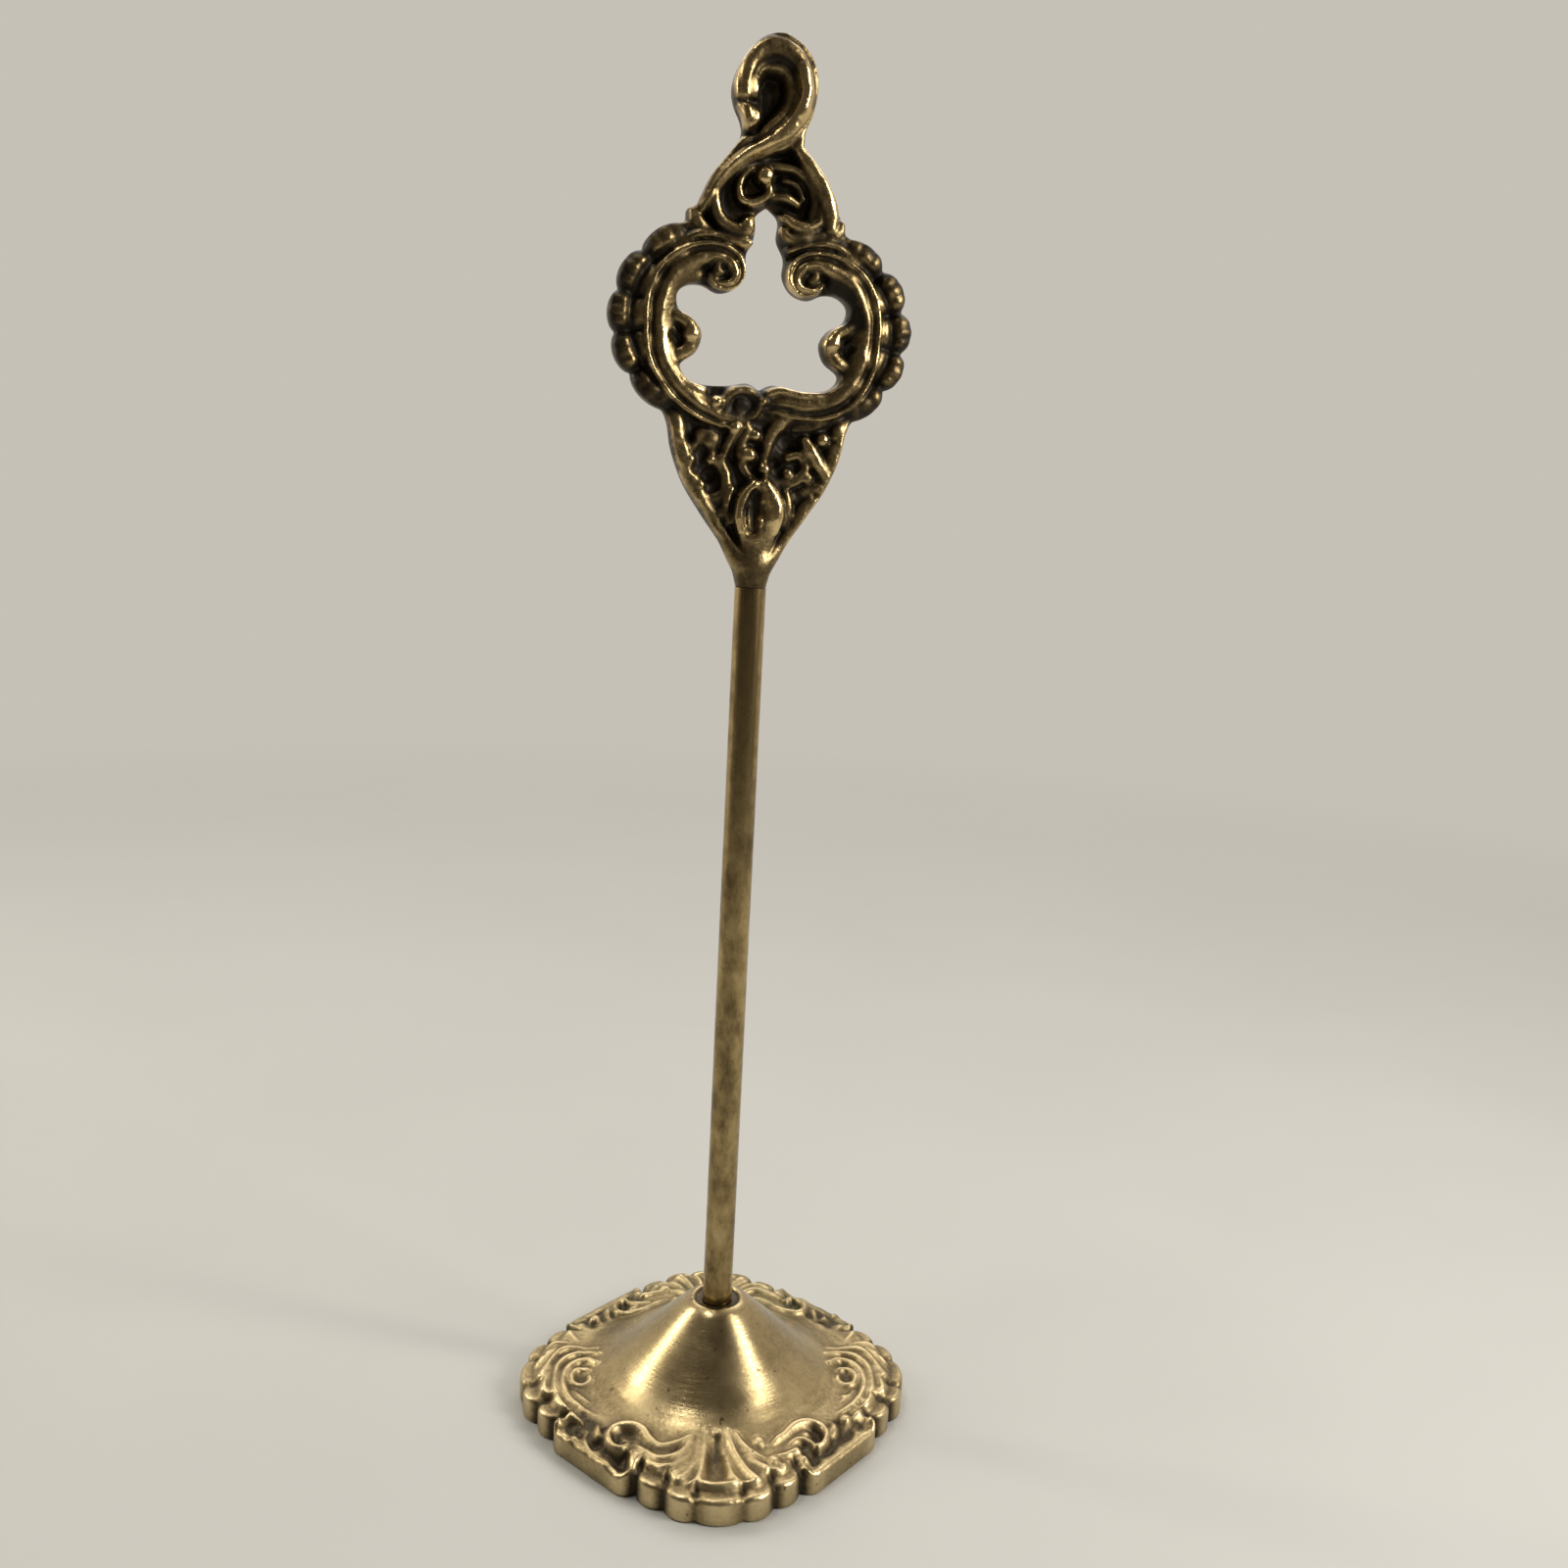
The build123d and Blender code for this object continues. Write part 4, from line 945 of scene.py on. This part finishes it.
def nut_piece(material):
    """Hexagon nut: chamfered corners on both faces and a countersunk thread."""
    flats, bore, thread = 4.0, 2.46, 0.22
    chamfer_start = flats - 0.1

    def hexagon(r, z, angle):
        if r < flats - 0.15:
            return np.full(angle.shape, float(r))
        full = (flats - 0.02) / np.cos((angle + pi / 6) % (pi / 3) - pi / 6)
        cap = chamfer_start + min(z - NUT_BOTTOM, NUT_TOP - z) * 1.75
        return np.minimum(full, max(cap, chamfer_start))

    low_edge = np.linspace(NUT_BOTTOM + 0.03, NUT_BOTTOM + 0.5, 7)
    high_edge = np.linspace(NUT_TOP - 0.5, NUT_TOP - 0.03, 7)
    threads = np.arange(NUT_TOP - 0.7, NUT_BOTTOM + 0.5, -0.4)
    profile = [(r, NUT_BOTTOM) for r in (2.9, 3.4, 3.89)]
    profile += [(flats, z) for z in (*low_edge, 6.0, 7.4, *high_edge)]
    profile += [(r, NUT_TOP) for r in (3.89, 3.4, 2.9)] + [(bore, NUT_TOP - 0.4)]
    profile += [(bore - thread * (i % 2), z) for i, z in enumerate(threads)] + [(bore, NUT_BOTTOM + 0.4)]
    return lathe("hexagon_nut", profile, material, turns=96, twist=hexagon)


STRIP_THICK, STRIP_HALF_WIDTH = 0.6, 5.5
STRIP_FOOT = (195.6, 203.4)               # lower and upper end of the part that lies on the head
# The leaf's course above that, as (distance from where it would lie flat, height).
STRIP_LEAF = [(0.35, 204.9), (1.35, 206.8), (1.7, 208.6), (1.15, 210.9), (0.45, 212.8), (0.42, 214.2),
              (1.1, 215.8), (2.0, 217.15)]


def strip_course():
    """The strip's middle line, as (distance behind the head's middle plane, height) from foot to tip."""
    surface = BACK_HEIGHT + STRIP_THICK / 2
    foot = [(surface, z) for z in np.linspace(*STRIP_FOOT, 24)]
    leaf = [(surface, STRIP_FOOT[1])] + [(surface + away, z) for away, z in STRIP_LEAF]
    return np.vstack([foot, curve_through(leaf, 7)[1:]])


def strip_width(to_tip, to_root):
    """Half the strip's width, rounded at the corners of its two ends."""
    width = STRIP_HALF_WIDTH
    for rounding, gap in ((3.0, to_tip), (1.2, to_root)):
        if gap < rounding:
            width = min(width, STRIP_HALF_WIDTH - rounding + (rounding**2 - (rounding - gap) ** 2) ** 0.5)
    return width


def strip_piece(material):
    """Foot and leaf of the clip as the single bent strip they are."""
    line = strip_course()
    lengths = np.concatenate([[0], np.cumsum(np.hypot(*np.diff(line, axis=0).T))])
    tangents = np.gradient(line, axis=0)
    tangents /= np.hypot(*tangents.T)[:, None]
    columns = 24
    verts = []
    for (depth, z), (along_depth, along_z), at in zip(line, tangents, lengths):
        width = strip_width(lengths[-1] - at, at)
        ring = []
        for column in range(columns):
            s = column * 2 / (columns - 1) - 1
            ring.append((s * (width - 0.02), STRIP_THICK / 2 * min(1.0, (1 - abs(s)) * width / 0.25 + 0.35)))
        for x, h in ring + [(x, -h) for x, h in ring[::-1]]:
            verts.append(x * ACROSS + (depth + along_z * h) * BACK + (z - along_depth * h) * UP)
    n = 2 * columns
    faces = ring_faces(len(line), n)
    for first, flip in ((0, False), ((len(line) - 1) * n, True)):
        for j in range(columns - 1):
            quad = (first + j, first + j + 1, first + n - 2 - j, first + n - 1 - j)
            faces.append(quad[::-1] if flip else quad)
    piece = new_piece("clip_strip", verts, faces, material)
    piece.data.set_sharp_from_angle(angle=radians(50))
    return piece


def rivet_pieces(material):
    """Two domed rivets through the strip into the head."""
    domed = [(1.9 * cos(a), 0.18 + 0.72 * sin(a) + STRIP_THICK) for a in map(radians, range(0, 90, 9))]
    profile = [(AXIS_GAP, -2.2), (1.0, -2.2), (1.15, -2.05), (1.15, 0.58), (1.75, STRIP_THICK), (1.88, 0.66)]
    profile += domed + [(AXIS_GAP, 1.5)]
    pieces = []
    for side, name in ((-1, "rivet_left"), (1, "rivet_right")):
        centre = side * RIVET_SPREAD * ACROSS + BACK_HEIGHT * BACK + RIVET_HEIGHT * UP
        pieces.append(lathe(name, profile, material, turns=40, centre=centre, axis=BACK))
    return pieces


# ---------------------------------------------------------------- materials
class Nodes:
    """A material's node tree, with short calls for the nodes that these finishes share."""

    def __init__(self, name):
        self.material = bpy.data.materials.new(name)
        self.material.use_nodes = True
        self.tree = self.material.node_tree
        self.shader = self.tree.nodes["Principled BSDF"]
        self.place = self.node("ShaderNodeTexCoord").outputs["Object"]

    def node(self, kind, inputs=None, **settings):
        """Adds a node; inputs gives its sockets constants or the outputs of other nodes."""
        made = self.tree.nodes.new(kind)
        for key, value in settings.items():
            setattr(made, key, value)
        for key, value in (inputs or {}).items():
            self.put(made.inputs[key], value)
        return made

    def put(self, socket, value):
        if isinstance(value, bpy.types.NodeSocket):
            self.tree.links.new(value, socket)
        else:
            socket.default_value = value

    def math(self, operation, *values, clamp=False):
        inputs = dict(enumerate(values))
        return self.node("ShaderNodeMath", inputs, operation=operation, use_clamp=clamp).outputs[0]

    def add(self, a, b):
        return self.math("ADD", a, b)

    def minus(self, a, b, clamp=False):
        return self.math("SUBTRACT", a, b, clamp=clamp)

    def times(self, a, b):
        return self.math("MULTIPLY", a, b)

    def scaled(self, scale):
        inputs = {0: self.place, 1: scale}
        return self.node("ShaderNodeVectorMath", inputs, operation="MULTIPLY").outputs[0]

    def noise(self, scale, detail=4.0, roughness=0.55, place=None):
        inputs = {"Vector": place or self.place, "Scale": scale, "Detail": detail, "Roughness": roughness}
        return self.node("ShaderNodeTexNoise", inputs).outputs["Fac"]

    def attribute(self, name):
        return self.node("ShaderNodeAttribute", attribute_name=name).outputs["Fac"]

    def spread(self, value, low, high, to_low=0.0, to_high=1.0):
        inputs = {"Value": value, "From Min": low, "From Max": high, "To Min": to_low, "To Max": to_high}
        return self.node("ShaderNodeMapRange", inputs).outputs[0]

    def ramp(self, value, *stops):
        made = self.node("ShaderNodeValToRGB", {"Fac": value})
        points = made.color_ramp.elements
        while len(points) < len(stops):
            points.new(0.5)
        for point, (at, colour) in zip(points, stops):
            point.position, point.color = at, (*colour, 1)
        return made.outputs["Color"]

    def mix(self, amount, a, b):
        a, b = ((*value, 1) if isinstance(value, tuple) else value for value in (a, b))
        inputs = {"Factor": amount, "A": a, "B": b}
        return self.node("ShaderNodeMix", inputs, data_type="RGBA").outputs["Result"]

    def bump(self, height, distance, strength, after=None):
        inputs = {"Height": height, "Distance": distance, "Strength": strength}
        if after is not None:
            inputs["Normal"] = after
        return self.node("ShaderNodeBump", inputs).outputs["Normal"]

    def finish(self, colour, metallic, roughness, normal):
        inputs = {"Base Color": colour, "Metallic": metallic, "Roughness": roughness, "Normal": normal}
        for key, value in inputs.items():
            self.put(self.shader.inputs[key], value)
        return self.material


BLACKENED = (0.019, 0.013, 0.006)
OLIVE = (0.115, 0.083, 0.038)
OLD_BRASS = (0.33, 0.245, 0.118)
RUBBED_BRASS = (0.70, 0.53, 0.26)


def head_brass():
    """Antiqued casting: blackened in the hollows, rubbed bright on the high strokes, with painted shade and
    painted highlights read from the same attribute.
    """
    n = Nodes("antiqued_cast_brass")
    cloud = n.noise(170.0, 5.0, 0.6)
    grain = n.noise(1400.0, 3.0, 0.6)
    worn_and_shaded = n.add(n.attribute("wear_and_shade"), n.spread(cloud, 0.25, 0.75, -0.5, 0.5))
    worn_and_shaded = n.add(worn_and_shaded, n.spread(grain, 0.25, 0.75, -0.18, 0.18))
    level = n.spread(worn_and_shaded, -1.0, 1.2)
    colour = n.ramp(level, (0.2, BLACKENED), (0.42, OLIVE), (0.66, OLD_BRASS), (0.95, RUBBED_BRASS))
    metallic = n.spread(level, 0.1, 0.45, 0.55, 1.0)
    roughness = n.add(n.spread(level, 0.1, 0.9, 0.52, 0.2), n.spread(grain, 0.3, 0.7, -0.05, 0.07))
    lumps = n.bump(n.noise(420.0, 3.0), 0.00035, 0.5)
    return n.finish(colour, metallic, roughness, n.bump(grain, 0.00012, 0.5, lumps))


def foot_brass():
    """The foot's casting, handled more: light worn brass, turned cone, brown in the pockets and painted shade
    in the dish.
    """
    n = Nodes("worn_cast_brass")
    x, y, z = n.node("ShaderNodeSeparateXYZ", {0: n.place}).outputs
    ring = n.math("SQRT", n.add(n.times(x, x), n.times(y, y)))
    sweep = n.node("ShaderNodeCombineXYZ")
    n.put(sweep.inputs[0], ring)
    n.put(sweep.inputs[1], n.times(z, 0.8))
    n.put(sweep.inputs[2], n.times(n.math("ARCTAN2", y, x), 0.0012))
    turned = n.noise(2600.0, 3.0, 0.6, sweep.outputs[0])
    cloud = n.noise(95.0, 5.0, 0.62)
    grain = n.noise(1300.0, 3.0, 0.6)
    pits = n.noise(520.0, 2.0, 0.5)
    worn_and_shaded = n.add(n.attribute("wear_and_shade"), n.spread(cloud, 0.3, 0.7, -0.28, 0.28))
    worn_and_shaded = n.add(worn_and_shaded, n.spread(grain, 0.25, 0.75, -0.2, 0.2))
    level = n.spread(worn_and_shaded, -1.0, 1.2)
    colour = n.ramp(level, (0.08, (0.05, 0.036, 0.017)), (0.34, (0.20, 0.15, 0.075)),
                    (0.56, (0.375, 0.292, 0.155)), (0.88, (0.61, 0.488, 0.275)))
    # Specks of tarnish, and a green tinge where the flare meets the rim at the back.
    specks = n.spread(pits, 0.69, 0.76)
    colour = n.mix(n.times(specks, 0.75), colour, (0.07, 0.045, 0.02))
    rear = n.times(n.spread(y, 0.010, 0.032), n.spread(n.noise(60.0, 4.0), 0.42, 0.62))
    colour = n.mix(n.times(rear, 0.55), colour, (0.16, 0.16, 0.085))
    under = n.attribute("under")
    colour = n.mix(under, colour, n.ramp(cloud, (0.35, (0.10, 0.07, 0.03)), (0.7, (0.26, 0.18, 0.08))))
    roughness = n.add(n.spread(level, 0.1, 0.9, 0.5, 0.3), n.spread(cloud, 0.35, 0.65, -0.04, 0.06))
    roughness = n.add(roughness, n.times(n.attribute("under"), 0.2))
    cone = n.minus(1.0, n.spread(ring, 0.020, 0.028), clamp=True)
    roughness = n.minus(roughness, n.times(cone, 0.15))
    lathe_marks = n.bump(n.times(turned, cone), 0.00004, 0.8)
    off_cone = n.minus(1.0, n.times(cone, 0.85))
    cast = n.bump(n.times(n.noise(380.0, 3.0), off_cone), 0.0003, 0.35, lathe_marks)
    return n.finish(colour, n.spread(level, 0.1, 0.4, 0.7, 1.0), roughness,
                    n.bump(n.times(grain, off_cone), 0.00018, 0.4, cast))


def rod_brass():
    """Drawn rod: fine lines along it and mottled brown tarnish."""
    n = Nodes("drawn_brass")
    drawn = n.noise(2200.0, 3.0, 0.5, n.scaled((1.0, 1.0, 0.02)))
    cloud = n.noise(150.0, 5.0, 0.6, n.scaled((1.0, 1.0, 0.45)))
    blot = n.noise(420.0, 4.0, 0.65, n.scaled((1.0, 1.0, 0.7)))
    tarnish = n.add(n.spread(cloud, 0.3, 0.7, 0.0, 0.7), n.spread(blot, 0.35, 0.7, 0.0, 0.35))
    colour = n.ramp(tarnish, (0.15, (0.46, 0.35, 0.17)), (0.5, (0.30, 0.22, 0.10)),
                    (0.85, (0.13, 0.09, 0.04)))
    roughness = n.add(n.spread(tarnish, 0.1, 0.9, 0.16, 0.32), n.spread(drawn, 0.3, 0.7, -0.04, 0.04))
    lines = n.bump(drawn, 0.00005, 0.5)
    metallic = n.spread(tarnish, 0.5, 1.0, 1.0, 0.85)
    return n.finish(colour, metallic, roughness, n.bump(blot, 0.00008, 0.4, lines))


def spring_strip_brass():
    """Rolled spring strip, satin along its length and dulled with age."""
    n = Nodes("rolled_spring_brass")
    rolled = n.noise(1800.0, 3.0, 0.5, n.scaled((1.0, 1.0, 0.03)))
    cloud = n.noise(240.0, 4.0, 0.6)
    colour = n.ramp(cloud, (0.3, (0.20, 0.135, 0.05)), (0.55, (0.34, 0.24, 0.10)), (0.75, (0.47, 0.34, 0.15)))
    roughness = n.add(n.spread(cloud, 0.3, 0.7, 0.38, 0.28), n.spread(rolled, 0.3, 0.7, -0.05, 0.05))
    return n.finish(colour, 1.0, roughness, n.bump(rolled, 0.00005, 0.6))


def rivet_brass():
    """Peened rivet heads, a shade brighter than the strip and slightly hammered."""
    n = Nodes("peened_brass")
    dents = n.noise(900.0, 2.0, 0.5)
    cloud = n.noise(500.0, 4.0, 0.6)
    colour = n.ramp(cloud, (0.3, (0.26, 0.175, 0.065)), (0.7, (0.55, 0.40, 0.175)))
    return n.finish(colour, 1.0, n.spread(cloud, 0.3, 0.7, 0.36, 0.22), n.bump(dents, 0.00018, 0.6))


def zinc_steel():
    """Zinc-plated steel, dulled, with a little brown in patches."""
    n = Nodes("dull_zinc_steel")
    cloud = n.noise(380.0, 5.0, 0.6)
    grain = n.noise(2400.0, 2.0, 0.5)
    stain = n.spread(n.noise(260.0, 4.0, 0.65), 0.56, 0.72)
    colour = n.ramp(cloud, (0.3, (0.26, 0.265, 0.27)), (0.7, (0.46, 0.465, 0.46)))
    colour = n.mix(n.times(stain, 0.6), colour, (0.16, 0.10, 0.055))
    roughness = n.add(n.spread(cloud, 0.3, 0.7, 0.46, 0.32), n.times(stain, 0.2))
    return n.finish(colour, n.spread(stain, 0.0, 1.0, 1.0, 0.7), roughness, n.bump(grain, 0.00004, 0.5))


# ---------------------------------------------------------------- the pieces
def place_piece(piece, body, slot, *nodes):
    """Gives a piece its body, when it is given one, and hides the CAD nodes it replaces; slot is not used."""
    if body:
        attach(piece, body)
    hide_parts(*nodes)


place_piece(head_piece(head_brass()), "root", "cast_brass_head", "head_casting")
place_piece(foot_piece(foot_brass()), "root", "cast_brass_foot", "base_casting")
place_piece(rod_piece(rod_brass()), "root", "brass_rod", "stem_rod")
steel = zinc_steel()
place_piece(washer_piece(steel), "root", "steel_fasteners", "base_washer")
place_piece(spring_washer_piece(steel), "root", "steel_fasteners", "spring_washer")
place_piece(nut_piece(steel), "root", "steel_fasteners", "base_nut")
strip = strip_piece(spring_strip_brass())
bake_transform(strip)
place_piece(strip, None, "spring_brass", "clip_foot", "clip_leaf")
for rivet in rivet_pieces(rivet_brass()):
    place_piece(rivet, "root", "rivet_brass", "clip_rivets")


# ---------------------------------------------------------------- floor, light and camera
BACKDROP = (0.565, 0.533, 0.474)
FLOOR_RINGS, FLOOR_TURNS = (0.15, 0.3, 0.6, 1.0, 1.6, 2.4), 96    # radii in metres
FLOOR_FADE = (0.22, 0.85)                 # distances between which the floor gives way to the backdrop
# Each lamp: name, direction, distance, size, watts, colour, and height on the axis that it is aimed at.
LAMPS = [
    ("left_window", (-0.83, 0.30, 0.49), 0.75, (0.10, 0.42), 1.55, (1.0, 0.95, 0.82), 0.03),
    ("right_window", (0.69, -0.23, 0.70), 0.75, (0.05, 0.40), 0.95, (1.0, 0.94, 0.82), 0.03),
    ("ceiling_lamp", (-0.27, -0.05, 0.96), 0.8, (0.16, 0.12), 1.1, (1.0, 0.97, 0.90), 0.03),
    ("right_reflector", (0.88, -0.42, 0.28), 0.6, (0.26, 0.30), 2.6, (1.0, 0.97, 0.92), 0.23),
    ("rear_window", (0.1, 0.75, 0.9), 1.2, (1.2, 0.6), 5.4, (1.0, 0.98, 0.96), 0.03),
]
# The photograph's view: place in metres, angles in degrees, lens in millimetres on a 36 mm sensor.
CAMERA_PLACE = (-0.01684, -0.28616, 0.19754)
CAMERA_HEADING, CAMERA_PITCH, CAMERA_ROLL = 84.87, 11.30, 3.03
CAMERA_LENS, CAMERA_SENSOR = 32.625, 36.0


def floor_piece():
    """A big pale disc that fades into the backdrop far from the object."""
    turns = range(FLOOR_TURNS)
    around = [2 * pi * k / FLOOR_TURNS for k in turns]
    verts = [(0, 0, 0)] + [(radius * cos(a), radius * sin(a), 0) for radius in FLOOR_RINGS for a in around]
    faces = [(0, 1 + k, 1 + (k + 1) % FLOOR_TURNS) for k in turns]
    for ring in range(len(FLOOR_RINGS) - 1):
        a, b = 1 + ring * FLOOR_TURNS, 1 + (ring + 1) * FLOOR_TURNS
        faces += [(a + k, b + k, b + (k + 1) % FLOOR_TURNS, a + (k + 1) % FLOOR_TURNS) for k in turns]
    n = Nodes("pale_paper")
    cloud = n.noise(9.0, 4.0, 0.5)
    colour = n.ramp(cloud, (0.3, (0.470, 0.473, 0.458)), (0.7, (0.490, 0.493, 0.478)))
    n.finish(colour, 0.0, 0.85, n.bump(n.noise(260.0, 3.0), 0.0003, 0.15))
    away = n.node("ShaderNodeVectorMath", {0: n.place}, operation="LENGTH")
    clear = n.node("ShaderNodeBsdfTransparent")
    blend = n.node("ShaderNodeMixShader")
    n.put(blend.inputs[0], n.spread(away.outputs["Value"], *FLOOR_FADE))
    n.put(blend.inputs[1], n.shader.outputs[0])
    n.put(blend.inputs[2], clear.outputs[0])
    n.put(n.tree.nodes["Material Output"].inputs["Surface"], blend.outputs[0])
    new_piece("paper_floor", np.array(verts) / MM, faces, n.material)


def studio_world():
    """Pale all round, and darker in front of the object, on the camera's side."""
    world = bpy.data.worlds.new("paper_box")
    bpy.context.scene.world = world
    world.use_nodes = True
    tree = world.node_tree
    new, link = tree.nodes.new, tree.links.new
    sky = tree.nodes["Background"]
    parts = new("ShaderNodeSeparateXYZ")
    link(new("ShaderNodeTexCoord").outputs["Generated"], parts.inputs[0])
    shade = new("ShaderNodeValToRGB")
    front_to_back = new("ShaderNodeMapRange")
    front_to_back.inputs["From Min"].default_value = -1.0
    link(parts.outputs["Y"], front_to_back.inputs["Value"])
    link(front_to_back.outputs[0], shade.inputs["Fac"])
    stops = shade.color_ramp.elements
    stops.new(0.5)
    shades = [(0.3, (0.095, 0.082, 0.067)), (0.46, (0.27, 0.24, 0.20)), (0.62, (0.72, 0.66, 0.57))]
    for stop, (at, colour) in zip(stops, shades):
        stop.position, stop.color = at, (*colour, 1)
    link(shade.outputs["Color"], sky.inputs["Color"])
    plain = new("ShaderNodeBackground")
    plain.inputs["Color"].default_value = (*BACKDROP, 1)
    seen = new("ShaderNodeMixShader")
    link(new("ShaderNodeLightPath").outputs["Is Camera Ray"], seen.inputs[0])
    link(sky.outputs[0], seen.inputs[1])
    link(plain.outputs[0], seen.inputs[2])
    link(seen.outputs[0], tree.nodes["World Output"].inputs["Surface"])


def softbox(name, direction, distance, size, watts, colour, aim_height):
    """A rectangular lamp that faces the object's axis."""
    light = bpy.data.lights.new(name, "AREA")
    light.shape, light.size, light.size_y = "RECTANGLE", *size
    light.energy, light.color = watts, colour
    lamp = bpy.data.objects.new(name, light)
    bpy.context.scene.collection.objects.link(lamp)
    away = Vector(direction).normalized()
    lamp.location = Vector((0, 0, aim_height)) + away * distance
    lamp.rotation_mode = "QUATERNION"
    lamp.rotation_quaternion = away.to_track_quat("Z", "Y")


def photo_camera():
    """The photograph's view: from a little above, turned and tipped as it is."""
    heading, pitch, roll = map(radians, (CAMERA_HEADING, CAMERA_PITCH, CAMERA_ROLL))
    forward = Vector((cos(heading) * cos(pitch), sin(heading) * cos(pitch), -sin(pitch)))
    level = forward.cross((0, 0, 1)).normalized()
    upright = level.cross(forward)
    right = level * cos(roll) + upright * sin(roll)
    up = upright * cos(roll) - level * sin(roll)
    camera = bpy.data.objects.new("camera", bpy.data.cameras.new("camera"))
    camera.data.sensor_width, camera.data.lens = CAMERA_SENSOR, CAMERA_LENS
    camera.data.clip_start, camera.data.clip_end = 0.01, 20.0
    turned = Matrix((right, up, -forward)).transposed().to_4x4()
    camera.matrix_world = Matrix.Translation(CAMERA_PLACE) @ turned
    bpy.context.scene.collection.objects.link(camera)
    bpy.context.scene.camera = camera


floor_piece()
studio_world()
for lamp in LAMPS:
    softbox(*lamp)
photo_camera()
bpy.context.scene.view_settings.view_transform = "Standard"
